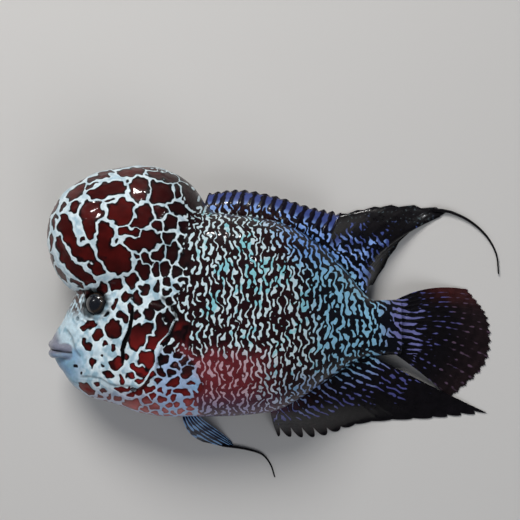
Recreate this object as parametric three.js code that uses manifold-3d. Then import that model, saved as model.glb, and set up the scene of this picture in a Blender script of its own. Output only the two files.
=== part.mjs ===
// A flowerhorn cichlid about 13 cm long, lying relaxed on its right side.
// Millimetres. +X runs from the snout to the tail, +Y from the belly to the back, +Z up, out of the left flank.
// The fish rests on small flats at Z = 0 under its forehead hump and flank, and its limp fins hang to that level.
import * as THREE from "three";
import { mergeVertices } from "three/addons/utils/BufferGeometryUtils.js";
import Module from "manifold-3d";

const wasm = await Module();
wasm.setup();

// Driving dimensions of the whole fish
const GAP = 0.3;
const SINK = 0.35; // how much the widest places flatten on the surface they lie on
const BODY_HALF_WIDTH = 16.9;
const HUMP_HALF_WIDTH = 17.1;
const MID_LEVEL = BODY_HALF_WIDTH - SINK; // height of the fish's middle plane at the flank
const TAIL_LEVEL = 6.6; // the same at the root of the tail fin
const SAG_START = 4;
const SAG_END = 43;
const SNOUT_X = -62.7;
const STEM_END_X = 42;
const ORIGIN = [5.35, -19.77]; // the middle of the whole outline, which becomes the part's origin
const FLOOR_CLEAR = 0.1;
const SMALLEST_EDGE = 0.02; // detail finer than this is dropped
const MEMBRANE = 0.55; // thickness of a fin between its rays
const RAY = 0.42; // how far a ray's ridge stands out of each face

const mix = (a, b, t) => a + (b - a) * t;
// Smooth curve through a few points [x, y] that adds no bumps between them
function profile(points) {
  const slopes = points.slice(1).map((p, i) => (p[1] - points[i][1]) / (p[0] - points[i][0]));
  const tangents = points.map((_, i) => {
    if (i === 0) return slopes[0];
    if (i === points.length - 1) return slopes[i - 1];
    const [a, b] = [slopes[i - 1], slopes[i]];
    return a * b <= 0 ? 0 : (2 * a * b) / (a + b);
  });
  return (x) => {
    const last = points.length - 2;
    let i = 0;
    while (i < last && x > points[i + 1][0]) i++;
    const width = points[i + 1][0] - points[i][0];
    const t = THREE.MathUtils.clamp((x - points[i][0]) / width, 0, 1);
    const [t2, t3] = [t * t, t * t * t];
    return (
      (2 * t3 - 3 * t2 + 1) * points[i][1] +
      (t3 - 2 * t2 + t) * width * tangents[i] +
      (3 * t2 - 2 * t3) * points[i + 1][1] +
      (t3 - t2) * width * tangents[i + 1]
    );
  };
}

// Outlines of the body without hump and fins, as [x, y]
const back = profile([
  [SNOUT_X, -24.6], [-61, -21.5], [-58.5, -17.5], [-55.5, -11], [-51, -4], [-44, 3], [-34, 9.5],
  [-16, 14], [-4, 13.2], [6, 11.2], [16, 6.2], [25, -1.5], [31, -9.4], [35, -12.4], [STEM_END_X, -12.2],
]);
const belly = profile([
  [SNOUT_X, -25.4], [-61, -30], [-58.5, -34], [-54.5, -38.8], [-50, -41.2], [-44, -42.8], [-36, -45.6],
  [-27, -46.8], [-10, -46.6], [3, -45.4], [12, -41.5], [21, -35.8], [29, -31.2], [34, -29.4], [STEM_END_X, -29],
]);
// Where the body is widest, and how wide it is there from the middle plane
const widestAt = profile([
  [SNOUT_X, -25], [-56, -27.5], [-46, -29], [-34, -26], [-14, -20], [12, -18.5], [STEM_END_X, -20.6],
]);
const halfWidth = profile([
  [SNOUT_X, 0.9], [-61.4, 3.6], [-58, 6.4], [-53, 9.2], [-46, 12.2], [-36, 15.3], [-24, BODY_HALF_WIDTH],
  [-6, BODY_HALF_WIDTH - 0.2], [8, 13.6], [20, 9.2], [30, 5.8], [37, 4.4], [STEM_END_X, 3.7],
]);
// 2 is an ellipse; more is a flatter flank
const flatness = profile([[SNOUT_X, 2], [-46, 2.2], [-24, 2.5], [10, 2.4], [STEM_END_X, 2.2]]);

// Height of the middle plane, which the limp tail lets down
function midLevel(x) {
  return MID_LEVEL - (MID_LEVEL - TAIL_LEVEL) * THREE.MathUtils.smoothstep(x, SAG_START, SAG_END);
}

// A THREE geometry as a solid, and back
function solidOf(geometry) {
  const bare = new THREE.BufferGeometry().setAttribute("position", geometry.getAttribute("position"));
  if (geometry.index) bare.setIndex(geometry.index);
  const merged = mergeVertices(bare, 1e-4);
  return new wasm.Manifold(
    new wasm.Mesh({
      numProp: 3,
      vertProperties: merged.attributes.position.array,
      triVerts: new Uint32Array(merged.index.array),
    }),
  );
}
// Only the outermost closed surface is kept, so no speck of a hollow stays sealed inside
function geometryOf(solid) {
  const { vertProperties, triVerts } = solid.simplify(SMALLEST_EDGE).getMesh();
  const parent = Array.from({ length: vertProperties.length / 3 }, (_, i) => i);
  const leader = (i) => {
    while (parent[i] !== i) i = parent[i] = parent[parent[i]];
    return i;
  };
  for (let i = 0; i < triVerts.length; i += 3) {
    parent[leader(triVerts[i])] = leader(triVerts[i + 1]);
    parent[leader(triVerts[i + 1])] = leader(triVerts[i + 2]);
  }
  const sizes = new Map();
  for (const i of triVerts) sizes.set(leader(i), (sizes.get(leader(i)) ?? 0) + 1);
  const outer = [...sizes].reduce((a, b) => (b[1] > a[1] ? b : a))[0];
  return new THREE.BufferGeometry()
    .setAttribute("position", new THREE.BufferAttribute(vertProperties, 3))
    .setIndex([...triVerts].filter((i) => leader(i) === outer));
}
const unionOf = (solids) => wasm.Manifold.union(solids);
function largest(solid) {
  return solid.decompose().reduce((a, b) => (b.volume() > a.volume() ? b : a));
}

// A solid from corner points and triangles, turned right side out
function closed(positions, index) {
  const geometry = new THREE.BufferGeometry();
  geometry.setAttribute("position", new THREE.Float32BufferAttribute(positions, 3));
  geometry.setIndex(index);
  const solid = solidOf(geometry);
  if (solid.volume() > 0) return solid;
  for (let i = 0; i < index.length; i += 3) [index[i + 1], index[i + 2]] = [index[i + 2], index[i + 1]];
  geometry.setIndex(index);
  return solidOf(geometry);
}
// Closed skin over rings of points, pinched shut at both ends
function loft(rings) {
  const sides = rings[0].length;
  const positions = rings.flat(2);
  const index = [];
  const middle = (ring) => [0, 1, 2].map((k) => ring.reduce((sum, p) => sum + p[k], 0) / sides);
  for (let i = 0; i < rings.length - 1; i++) {
    for (let j = 0; j < sides; j++) {
      const [a, b] = [i * sides + j, i * sides + ((j + 1) % sides)];
      index.push(a, b, a + sides, b, b + sides, a + sides);
    }
  }
  const first = positions.length / 3;
  positions.push(...middle(rings[0]), ...middle(rings.at(-1)));
  const end = (rings.length - 1) * sides;
  for (let j = 0; j < sides; j++) {
    const k = (j + 1) % sides;
    index.push(first, k, j, first + 1, end + j, end + k);
  }
  return closed(positions, index);
}

// Rounded bar along a line of points, with a radius that follows f(0 to 1)
function bar(points, radius, sides = 8, flat = 1) {
  const curve = new THREE.CatmullRomCurve3(points.map((p) => new THREE.Vector3(...p)));
  const steps = Math.max(4, 3 * (points.length - 1));
  const up = new THREE.Vector3(0, 0, 1);
  const rings = [];
  for (let i = 0; i <= steps; i++) {
    const t = i / steps;
    const [centre, along] = [curve.getPoint(t), curve.getTangent(t)];
    const side = new THREE.Vector3().crossVectors(along, up).normalize();
    const lift = new THREE.Vector3().crossVectors(side, along).normalize();
    rings.push(
      Array.from({ length: sides }, (_, k) => {
        const angle = (2 * Math.PI * (k + 0.5)) / sides;
        const p = centre.clone();
        p.addScaledVector(side, radius(t) * Math.cos(angle));
        p.addScaledVector(lift, radius(t) * flat * Math.sin(angle));
        return p.toArray();
      }),
    );
  }
  return loft(rings);
}

// Column that stands through the whole fish, over an outline of [x, y], from one height to another
function column(outline, low = -20, high = 60) {
  const shape = new THREE.Shape(outline.map((p) => new THREE.Vector2(...p)));
  const geometry = new THREE.ExtrudeGeometry(shape, { depth: high - low, bevelEnabled: false });
  return solidOf(geometry.translate(0, 0, low));
}
function grown(outline, by) {
  const n = outline.length;
  const area = outline.reduce((sum, p, i) => {
    const q = outline[(i + 1) % n];
    return sum + p[0] * q[1] - q[0] * p[1];
  }, 0);
  return outline.map((p, i) => {
    const [before, after] = [outline[(i + n - 1) % n], outline[(i + 1) % n]];
    const along = new THREE.Vector2(after[0] - before[0], after[1] - before[1]).normalize();
    const way = Math.sign(area) * by;
    return [p[0] + along.y * way, p[1] - along.x * way];
  });
}
function smoothOutline(points, count) {
  const curve = new THREE.CatmullRomCurve3(points.map((p) => new THREE.Vector3(p[0], p[1], 0)), true);
  return curve.getPoints(count).slice(0, count).map((p) => [p.x, p.y]);
}

// The body as one loft, grown by a margin on every side
const BODY_SIDES = 24;
const STATIONS = [
  -62.5, -61.6, -60.2, -58, -55, -51, -46, -40, -33, -26, -18, -10, -2, 5, 11, 17, 23, 28, 33, 37, 41, STEM_END_X,
];
function bodyRing(x, margin) {
  const [top, low, middle] = [back(x) + margin, belly(x) - margin, widestAt(x)];
  const [wide, power, level] = [halfWidth(x) + margin, flatness(x), midLevel(x)];
  return Array.from({ length: BODY_SIDES }, (_, k) => {
    const angle = (2 * Math.PI * k) / BODY_SIDES;
    const [c, s] = [Math.cos(angle), Math.sin(angle)];
    const reach = c > 0 ? top - middle : middle - low;
    const y = middle + reach * Math.sign(c) * Math.abs(c) ** (2 / power);
    return [x, y, level + wide * Math.sign(s) * Math.abs(s) ** (2 / power)];
  });
}
function body(margin = 0) {
  const room = (x) => Math.min(halfWidth(x), (back(x) - belly(x)) / 2);
  const kept = STATIONS.filter((x) => margin >= 0 || room(x) > 1 - margin);
  const ends = [kept[0], kept.at(-1)];
  const stretch = (x) => (x === ends[0] ? x - margin : x === ends[1] ? x + margin : x);
  return loft(kept.map((x) => bodyRing(x, margin).map((p) => [stretch(x), p[1], p[2]])));
}
// How far the skin stands out from the middle plane over a point of the side view
function stand(x, y) {
  const middle = widestAt(x);
  const reach = y > middle ? back(x) - middle : middle - belly(x);
  const share = Math.min(1, Math.abs(y - middle) / reach);
  return halfWidth(x) * (1 - share ** flatness(x)) ** (1 / flatness(x));
}

// The forehead hump: a ball of soft tissue, a little square in outline, tipped back
const HUMP = { x: -39.3, y: 7.5, long: 24.5, high: 20.4, tilt: 0.17, power: 2.2 };
function hump(margin = 0) {
  const ball = new THREE.SphereGeometry(1, 28, 18);
  const p = ball.getAttribute("position");
  const [c, s] = [Math.cos(HUMP.tilt), Math.sin(HUMP.tilt)];
  for (let i = 0; i < p.count; i++) {
    const [u, v, w] = [p.getX(i), p.getY(i), p.getZ(i)];
    const flat = Math.hypot(u, v) || 1;
    const square = (Math.abs(u / flat) ** HUMP.power + Math.abs(v / flat) ** HUMP.power) ** (-1 / HUMP.power);
    const [x, y] = [u * square * (HUMP.long + margin), v * square * (HUMP.high + margin)];
    p.setXYZ(i, HUMP.x + x * c - y * s, HUMP.y + x * s + y * c, MID_LEVEL + w * (HUMP_HALF_WIDTH + margin));
  }
  return solidOf(ball);
}

const floorBlock = solidOf(new THREE.BoxGeometry(400, 400, 40).translate(0, 0, -20));
const restOn = (solid) => solid.subtract(floorBlock);
const sides = [["left", 1], ["right", -1]];
const upperHalf = (side) => solidOf(new THREE.BoxGeometry(300, 300, 60).translate(0, 0, MID_LEVEL + side * 34));

// Features of the head
const EYE = { x: -48, y: -12.7, radius: 3.45, sunk: 0.74, rim: 0.8 };
const MOUTH_CORNER = [-56, -27.2];
const MOUTH_FRONT_Y = -26.6;
const LIP = 1.25;
const LIP_DROP = 1.35; // how far each lip's middle is from the line of the mouth
const NOSTRIL = { x: -53.6, y: -17.3, radius: 0.8, depth: 1.3 };
const GILL_PLATE = { rise: 0.5, thick: 3 };

// Puts a shape made round the Z axis on the skin of one side, tilted as the skin is there
function onSkin(geometry, x, y, side, out) {
  const step = 1;
  const slopeY = (stand(x, y + step) - stand(x, y - step)) / (2 * step);
  const slopeX = (stand(x + step, y) - stand(x - step, y)) / (2 * step);
  const normal = new THREE.Vector3(-slopeX, -slopeY, side).normalize();
  const turn = new THREE.Quaternion().setFromUnitVectors(new THREE.Vector3(0, 0, 1), normal);
  const place = new THREE.Vector3(x, y, MID_LEVEL + side * stand(x, y)).addScaledVector(normal, out);
  return solidOf(geometry.applyQuaternion(turn).translate(place.x, place.y, place.z));
}
function eyeball(side, margin = 0) {
  const ball = new THREE.SphereGeometry(EYE.radius + margin, 16, 10).rotateX(Math.PI / 2);
  return onSkin(ball, EYE.x, EYE.y, side, -EYE.radius * EYE.sunk);
}
function eyeRim(side) {
  const rim = new THREE.TorusGeometry(EYE.radius + 0.3, EYE.rim, 6, 20);
  return onSkin(rim, EYE.x, EYE.y, side, -0.35);
}
function nostril(side) {
  const pit = new THREE.SphereGeometry(NOSTRIL.radius, 10, 8).scale(1, 1, NOSTRIL.depth / NOSTRIL.radius);
  return onSkin(pit, NOSTRIL.x, NOSTRIL.y, side, 0.2);
}
// A lip runs round the snout from one corner of the mouth to the other
function lip(drop) {
  const wide = halfWidth(MOUTH_CORNER[0]) * 0.93;
  const [cornerX, cornerY] = [MOUTH_CORNER[0] + 0.6, MOUTH_CORNER[1] + drop * 0.55];
  const [frontX, frontY] = [SNOUT_X + 0.9, MOUTH_FRONT_Y + drop];
  const arc = [-1, -0.72, -0.38, 0, 0.38, 0.72, 1].map((t) => {
    const along = 1 - Math.sqrt(1 - 0.98 * t * t);
    const z = MID_LEVEL + wide * Math.sin((t * Math.PI) / 2);
    return [mix(frontX, cornerX, along), mix(frontY, cornerY, along), z];
  });
  return bar(arc, (t) => LIP * (0.62 + 0.38 * Math.sin(Math.PI * t)));
}

// Lines that divide the body, seen from the side
const jawOutline = [
  [-70, MOUTH_FRONT_Y], [-60, -27.1], MOUTH_CORNER, [-54.4, -30.6], [-51.5, -34.5],
  [-49, -38], [-46.8, -41], [-46, -50], [-70, -50],
];
const gillOutline = smoothOutline(
  [
    [-37.3, -13.1], [-31.9, -12.2], [-26.1, -13.9], [-24.7, -18], [-27.6, -23.8], [-29.4, -28.5],
    [-30.4, -33.3], [-35, -37.6], [-40.5, -35.8], [-42.3, -30.1], [-40.5, -24.2], [-38.3, -18.4],
  ],
  30,
);
// The head ends on the line of the shoulder girdle, under the rear edge of the gill covers
const headOutline = [
  [-80, 60], [-27, 60], [-27, 0], [-27.4, -18], [-31.6, -27], [-33.4, -37], [-36, -50], [-80, -50],
];
const stemOutline = [[29, 30], [31.6, -10], [31.6, -31], [29, -60], [60, -60], [60, 30]];

const socket = hump(GAP);
const flesh = restOn(body()).subtract(socket);
const shell = body(GILL_PLATE.rise).subtract(body(-GILL_PLATE.thick)).subtract(socket);
const gillColumn = column(gillOutline);
const gillSlot = column(grown(gillOutline, GAP));
const gillRecess = gillSlot.subtract(body(-GILL_PLATE.thick - GAP));

const eyeSockets = unionOf(sides.map(([, side]) => eyeball(side, GAP)));
const humpSolid = largest(restOn(hump()).subtract(eyeSockets));
function makeHead() {
  const rims = unionOf(sides.map(([, side]) => eyeRim(side)));
  const fleshy = flesh.intersect(column(headOutline)).add(rims).add(lip(LIP_DROP)).subtract(socket);
  const pits = unionOf(sides.map(([, side]) => nostril(side)));
  const cuts = unionOf([column(grown(jawOutline, GAP)), gillRecess, pits, eyeSockets]);
  return largest(fleshy.subtract(cuts));
}
const head = makeHead();
const jaw = largest(flesh.add(lip(-LIP_DROP)).intersect(column(jawOutline)));
const gillCover = (side) => largest(restOn(shell.intersect(gillColumn).intersect(upperHalf(side))));
const divided = unionOf([column(grown(headOutline, GAP)), column(grown(stemOutline, GAP)), gillRecess]);
const torso = largest(flesh.subtract(divided));
const stem = largest(flesh.intersect(column(stemOutline)));

// A fin is a sheet over a grid of rays, with a ridge along each ray on both faces, from root to edge
function sheet({ rays, steps, point, root = 0, ridge = RAY }) {
  const columns = [];
  for (let r = 0; r < rays; r++) {
    if (r > 0) columns.push([(r - 0.5) / (rays - 1), 0]);
    columns.push([r / (rays - 1), 1]);
  }
  const [cols, rows] = [columns.length, steps + 1];
  const faces = [1, -1].map((face) =>
    columns.flatMap(([v, onRay]) =>
      Array.from({ length: rows }, (_, i) => {
        const u = i / steps;
        const [x, y, z] = point(u, v, onRay);
        const thick = (MEMBRANE / 2 + onRay * ridge * (1 - 0.6 * u)) * (1 - 0.3 * u * u);
        const half = thick + root * Math.max(0, 1 - 4 * u) ** 1.5;
        return [x, y, Math.max(z, FLOOR_CLEAR + half) + face * half];
      }),
    ),
  );
  const positions = faces.flat(2);
  const at = (face, c, i) => (face * cols + c) * rows + i;
  const index = [];
  const quad = (a, b, c, d) => index.push(a, b, c, a, c, d);
  for (let c = 0; c < cols - 1; c++) {
    for (let i = 0; i < steps; i++) {
      const [a, b, d, e] = [at(0, c, i), at(0, c + 1, i), at(0, c + 1, i + 1), at(0, c, i + 1)];
      const under = cols * rows;
      quad(a, b, d, e);
      index.push(a + under, d + under, b + under, a + under, e + under, d + under);
    }
    quad(at(0, c + 1, 0), at(0, c, 0), at(1, c, 0), at(1, c + 1, 0));
    quad(at(0, c, steps), at(0, c + 1, steps), at(1, c + 1, steps), at(1, c, steps));
  }
  for (let i = 0; i < steps; i++) {
    quad(at(0, 0, i), at(0, 0, i + 1), at(1, 0, i + 1), at(1, 0, i));
    quad(at(0, cols - 1, i + 1), at(0, cols - 1, i), at(1, cols - 1, i), at(1, cols - 1, i + 1));
  }
  return closed(positions, index);
}
const line = (points) => {
  const curve = new THREE.CatmullRomCurve3(points.map((p) => new THREE.Vector3(p[0], p[1], p[2] ?? 0)));
  return (t) => curve.getPoint(THREE.MathUtils.clamp(t, 0, 1)).toArray();
};
// Rays that leave the root line, bend over the middle line and end on the edge line.
// The edge is drawn in by notch, a share or a function of v, between the rays, and the whole fin falls to low beyond the root.
function spread({ root, middle, edge, notch = 0, low = 0, fall = 1 }) {
  const [from, over, to] = [line(root), line(middle), line(edge)];
  return (u, v, onRay) => {
    const depth = typeof notch === "function" ? notch(v) : notch;
    const reach = u * (1 - depth * (1 - onRay) * u);
    const [a, b, c] = [from(v), over(v), to(v)];
    const [wa, wb, wc] = [(1 - reach) ** 2, 2 * reach * (1 - reach), reach * reach];
    const level = midLevel(a[0]);
    const z = mix(level, low, THREE.MathUtils.smoothstep(reach * fall, 0, 1));
    return [wa * a[0] + wb * b[0] + wc * c[0], wa * a[1] + wb * b[1] + wc * c[1], z];
  };
}
const alongBack = (xs) => xs.map((x) => [x, back(x) - 0.9]);
const alongBelly = (xs) => xs.map((x) => [x, belly(x) + 0.9]);
const clearOfBody = body(GAP);
const rooted = (solid) => largest(solid.subtract(clearOfBody).subtract(socket));

function dorsalSpiny() {
  return sheet({
    rays: 15,
    steps: 5,
    root: 0.7,
    point: spread({
      root: alongBack([-17, -8, 2, 11, 19.6]),
      middle: [[-17, 17], [-8, 17.5], [3.4, 16.2], [14, 12.6], [22.2, 8.8]],
      edge: [[-15.4, 20.4], [-6, 21.4], [5, 19.4], [15.4, 16.2], [24.8, 14.4]],
      notch: 0.16,
      low: 9,
      fall: 0.55,
    }),
  });
}
function dorsalSoft() {
  return sheet({
    rays: 13,
    steps: 8,
    root: 0.6,
    point: spread({
      root: alongBack([20.6, 24, 27, 30, 32.6]),
      middle: [[24, 9.2], [31.8, 10.9], [38, 7.2], [34.9, 1.6], [32.8, -7.5]],
      edge: [[27, 14.8], [41.5, 17.2], [58.5, 15.2], [46.3, 8.3], [35.2, -7.8]],
      notch: 0.05,
      low: 0.3,
      fall: 1,
    }),
  });
}
// The thread that the back fin's longest ray ends in
const FILAMENT = [[54, 15.7, 1.3], [59.2, 14.9, 1], [65.4, 12, 0.8], [70.6, 7.3, 0.7], [73.6, 1.7, 0.6], [74.3, -4.4, 0.6]];
function dorsalFilament(lobe) {
  const thread = bar(FILAMENT, (t) => mix(0.6, 0.25, t), 6);
  return thread.trimByPlane([1, 0, 0], lobe.boundingBox().max[0] + GAP);
}
function caudal() {
  return sheet({
    rays: 17,
    steps: 8,
    root: 2.6,
    point: spread({
      root: [[STEM_END_X + GAP, -12.6], [STEM_END_X + GAP, -20.6], [STEM_END_X + GAP, -28.6]],
      middle: [[51.6, -6.8], [57.8, -18.6], [52, -36.1]],
      edge: [[64.8, -9.2], [71.2, -18.7], [70.6, -31.8], [59.4, -43.2]],
      notch: 0.03,
      low: 0.2,
      fall: 1,
    }),
  });
}
function anal() {
  return sheet({
    rays: 15,
    steps: 8,
    root: 0.6,
    point: spread({
      root: alongBelly([3, 12, 21, 28, 33.4]),
      middle: [[3.7, -50.4], [15.5, -50.7], [27.8, -47.8], [39.1, -43.7], [45.9, -35.8]],
      edge: [[5.6, -55], [18.3, -55], [32.2, -50.9], [55, -49.2], [70.6, -47.6]],
      notch: (v) => mix(0.3, 0.05, THREE.MathUtils.smoothstep(v, 0.1, 0.5)),
      low: 0.2,
      fall: 1,
    }),
  });
}
// A pectoral fin lies folded back over the flank
const PECTORAL_LIFT = 1.15;
function pectoralLeft() {
  const flat = spread({
    root: [[-24.4, -24.8], [-24.6, -27.1], [-25.4, -29.4]],
    middle: [[-13.5, -24.6], [-9.6, -33], [-22.5, -36.5]],
    edge: [[-2.9, -25], [6.3, -32.3], [2.9, -40], [-7.7, -43], [-19.6, -42.2]],
    notch: 0.04,
  });
  return sheet({
    rays: 12,
    steps: 7,
    root: 0.3,
    point: (u, v, onRay) => {
      const [x, y] = flat(u, v, onRay);
      const eased = widestAt(x) + (y - widestAt(x)) * 0.86;
      return [x, y, midLevel(x) + stand(x, eased) + mix(-0.7, PECTORAL_LIFT, Math.min(1, 5 * u))];
    },
  });
}
function pectoralRight() {
  return sheet({
    rays: 8,
    steps: 6,
    ridge: 0.1,
    point: (u, v, onRay) => {
      const along = u * (1 - 0.05 * (1 - onRay));
      const [x, y] = [mix(-27.6, mix(-6, -17, v), along), mix(mix(-34.8, -37.6, v), mix(-35.2, -41, v), along)];
      return [x, y, mix(1.6, 0.4, Math.min(1, 3 * u))];
    },
  });
}
function pelvicLeft() {
  const blade = sheet({
    rays: 6,
    steps: 7,
    root: 0.4,
    point: spread({
      root: alongBelly([-23.4, -21.4, -19]),
      middle: [[-22.4, -54.5], [-18.8, -52.6], [-16.7, -49.6]],
      edge: [[-17.6, -56.7], [-8.3, -58.3], [-8.7, -56.7]],
      low: 0.3,
      fall: 1,
    }),
  });
  const thread = [[-11.8, -57.7, 0.7], [-4.1, -58.9, 0.55], [0.8, -60.6, 0.5], [3.3, -63.7, 0.45], [4.6, -67.6, 0.4]];
  return blade.add(bar(thread, (t) => mix(0.5, 0.22, t), 6));
}
function pelvicRight() {
  return sheet({
    rays: 5,
    steps: 6,
    ridge: 0.1,
    point: (u, v) => {
      const [x, y] = [mix(-21.6, mix(0, -7, v), u), mix(mix(-42.6, -44.6, v), mix(-44.4, -46, v), u)];
      return [x, y, mix(4.6, 0.5, THREE.MathUtils.smoothstep(u, 0, 0.5))];
    },
  });
}

const paint = {
  maroon: { color: 0x451313, roughness: 0.35, metalness: 0 },
  face: { color: 0x8fa9b4, roughness: 0.35, metalness: 0 },
  flank: { color: 0x2a171c, roughness: 0.35, metalness: 0 },
  eye: { color: 0x0d0b0a, roughness: 0.08, metalness: 0 },
  fin: { color: 0x171923, roughness: 0.4, metalness: 0 },
  clearFin: { color: 0x8d7a80, roughness: 0.35, metalness: 0 },
};
const fish = new THREE.Group();
fish.position.set(-ORIGIN[0], -ORIGIN[1], 0);
function add(name, solid, look) {
  const mesh = new THREE.Mesh(geometryOf(solid), new THREE.MeshStandardMaterial(paint[look]));
  mesh.name = name;
  fish.add(mesh);
}
add("hump", humpSolid, "maroon");
add("head", head, "face");
add("lower_jaw", jaw, "face");
add("torso", torso, "flank");
add("tail_stem", stem, "flank");
for (const [name, side] of sides) {
  add(`gill_cover_${name}`, gillCover(side), "maroon");
  add(`eye_${name}`, largest(eyeball(side)), "eye");
}
add("dorsal_fin_spiny", rooted(dorsalSpiny()), "fin");
const softLobe = rooted(dorsalSoft());
add("dorsal_fin_soft", softLobe, "fin");
add("dorsal_filament", largest(dorsalFilament(softLobe)), "fin");
add("anal_fin", rooted(anal()), "fin");
add("caudal_fin", rooted(caudal()), "fin");
add("pectoral_fin_left", rooted(pectoralLeft()), "clearFin");
add("pectoral_fin_right", rooted(pectoralRight()), "clearFin");
add("pelvic_fin_left", rooted(pelvicLeft()), "fin");
add("pelvic_fin_right", rooted(pelvicRight()), "fin");

const root = new THREE.Group();
root.add(fish);
export default root;
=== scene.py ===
# A flowerhorn cichlid about 13 cm long, lying relaxed on its right side, seen from straight above.
# Shapes are worked out in millimetres in the fish's own side view: x from the snout to the tail,
# y from the belly to the back, z up from the surface it lies on. They are stored in metres.
from types import SimpleNamespace

import bpy
import numpy as np
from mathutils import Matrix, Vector


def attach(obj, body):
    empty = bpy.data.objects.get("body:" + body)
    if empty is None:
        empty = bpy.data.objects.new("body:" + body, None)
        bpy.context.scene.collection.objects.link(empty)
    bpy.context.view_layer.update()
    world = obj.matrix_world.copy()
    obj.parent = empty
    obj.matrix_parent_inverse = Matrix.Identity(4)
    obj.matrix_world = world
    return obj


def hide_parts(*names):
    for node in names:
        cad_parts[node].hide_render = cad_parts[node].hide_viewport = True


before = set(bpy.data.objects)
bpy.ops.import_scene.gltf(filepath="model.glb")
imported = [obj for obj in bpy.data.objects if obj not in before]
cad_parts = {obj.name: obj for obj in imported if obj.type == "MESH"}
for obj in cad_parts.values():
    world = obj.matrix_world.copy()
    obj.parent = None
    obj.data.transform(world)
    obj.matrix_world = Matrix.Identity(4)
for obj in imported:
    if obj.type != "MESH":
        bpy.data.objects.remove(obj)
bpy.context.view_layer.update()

MM = 0.001
ORIGIN = np.array([5.35, -19.77, 0.0])  # the side view's point that is the part's origin

# Driving sizes. They are the solids' own, apart from the eye, which is larger and stands out further here
BODY_HALF_WIDTH = 16.9
MID_LEVEL = 16.55
TAIL_LEVEL = 6.6
SAG_START = 4.0
SAG_END = 43.0
SNOUT_X = -62.7
STEM_END_X = 42.0
HUMP = {"x": -39.3, "y": 7.5, "long": 24.5, "high": 20.4, "wide": 17.1, "tilt": 0.17, "power": 2.2}
EYE = {"x": -48, "y": -12.7, "radius": 4.1, "sunk": 0.45}
EYE_RING = {"out": 1.04, "up": 0.4, "thick": 0.85}
MOUTH_CORNER = (-56, -27.2)
MOUTH_FRONT_Y = -26.6
LIP = 1.25
LIP_DROP = 1.35
NOSTRIL = {"x": -53.6, "y": -17.3, "radius": 0.6, "rim": 0.95}
GILL_OUTLINE = (
    (-37.3, -13.1), (-31.9, -12.2), (-26.1, -13.9), (-24.7, -18), (-27.6, -23.8), (-29.4, -28.5),
    (-30.4, -33.3), (-35, -37.6), (-40.5, -35.8), (-42.3, -30.1), (-40.5, -24.2), (-38.3, -18.4),
)

# The picture's frame: its middle is (0, 0) of the side view, seen from straight above
PHOTO_PIXELS = 520
MM_PER_PIXEL = 0.3
VIEW_HEIGHT = 420.0

# The grids of skin and wavy lines: where they start and end, and the distance between their points. The
# skin's levels are shifted a little, so that none is in the floor's plane
SKIN_BOX = ((-65, 46), (-50, 31), (-1, 36))
SKIN_PITCH = 0.54
LEVEL_SHIFT = 0.013
LINES_LOW, LINES_HIGH = (-44, -84), (78, 46)
LINES_PITCH = 0.27

# Scales of the flank, and the least gap between a fin and the floor
SCALE = {"long": 2.0, "high": 2.6, "rise": 0.07}
FLOOR_GAP = 0.06

# Points worked on at one time, and places tried for seeded cells
BATCH = 6000
TRIES = 14000


def linear(red, green, blue):
    """A colour given as 0 to 255 on a screen, as the shader takes it."""
    c = np.array([red, green, blue]) / 255
    return np.where(c <= 0.04045, c / 12.92, ((c + 0.055) / 1.055) ** 2.4)


def mix(a, b, t):
    return a + (b - a) * t


def smooth(low, high, x):
    t = np.clip((x - low) / (high - low), 0, 1)
    return t * t * (3 - 2 * t)


def profile(points):
    """Smooth curve through points (x, y) that adds no bumps between them."""
    px, py = np.array(points, float).T
    slope = np.diff(py) / np.diff(px)
    tangent = np.empty(len(px))
    tangent[0], tangent[-1] = slope[0], slope[-1]
    a, b = slope[:-1], slope[1:]
    tangent[1:-1] = np.where(a * b <= 0, 0, 2 * a * b / np.where(a + b == 0, 1, a + b))

    def curve(x):
        i = np.clip(np.searchsorted(px, x) - 1, 0, len(px) - 2)
        width = px[i + 1] - px[i]
        t = np.clip((x - px[i]) / width, 0, 1)
        t2, t3 = t * t, t * t * t
        return (
            (2 * t3 - 3 * t2 + 1) * py[i]
            + (t3 - 2 * t2 + t) * width * tangent[i]
            + (3 * t2 - 2 * t3) * py[i + 1]
            + (t3 - t2) * width * tangent[i + 1]
        )

    return curve


back = profile([
    (SNOUT_X, -24.6), (-61, -21.5), (-58.5, -17.5), (-55.5, -11), (-51, -4), (-44, 3), (-34, 9.5),
    (-16, 14), (-4, 13.2), (6, 11.2), (16, 6.2), (25, -1.5), (31, -9.4), (35, -12.4), (STEM_END_X, -12.2),
])
belly = profile([
    (SNOUT_X, -25.4), (-61, -30), (-58.5, -34), (-54.5, -38.8), (-50, -41.2), (-44, -42.8), (-36, -45.6),
    (-27, -46.8), (-10, -46.6), (3, -45.4), (12, -41.5), (21, -35.8), (29, -31.2), (34, -29.4),
    (STEM_END_X, -29),
])
widest_at = profile([
    (SNOUT_X, -25), (-56, -27.5), (-46, -29), (-34, -26), (-14, -20), (12, -18.5), (STEM_END_X, -20.6),
])
half_width = profile([
    (SNOUT_X, 0.9), (-61.4, 3.6), (-58, 6.4), (-53, 9.2), (-46, 12.2), (-36, 15.3), (-24, BODY_HALF_WIDTH),
    (-6, BODY_HALF_WIDTH - 0.2), (8, 13.6), (20, 9.2), (30, 5.8), (37, 4.4), (STEM_END_X, 3.7),
])
flatness = profile([(SNOUT_X, 2), (-46, 2.2), (-24, 2.5), (10, 2.4), (STEM_END_X, 2.2)])


def mid_level(x):
    return MID_LEVEL - (MID_LEVEL - TAIL_LEVEL) * smooth(SAG_START, SAG_END, x)


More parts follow.
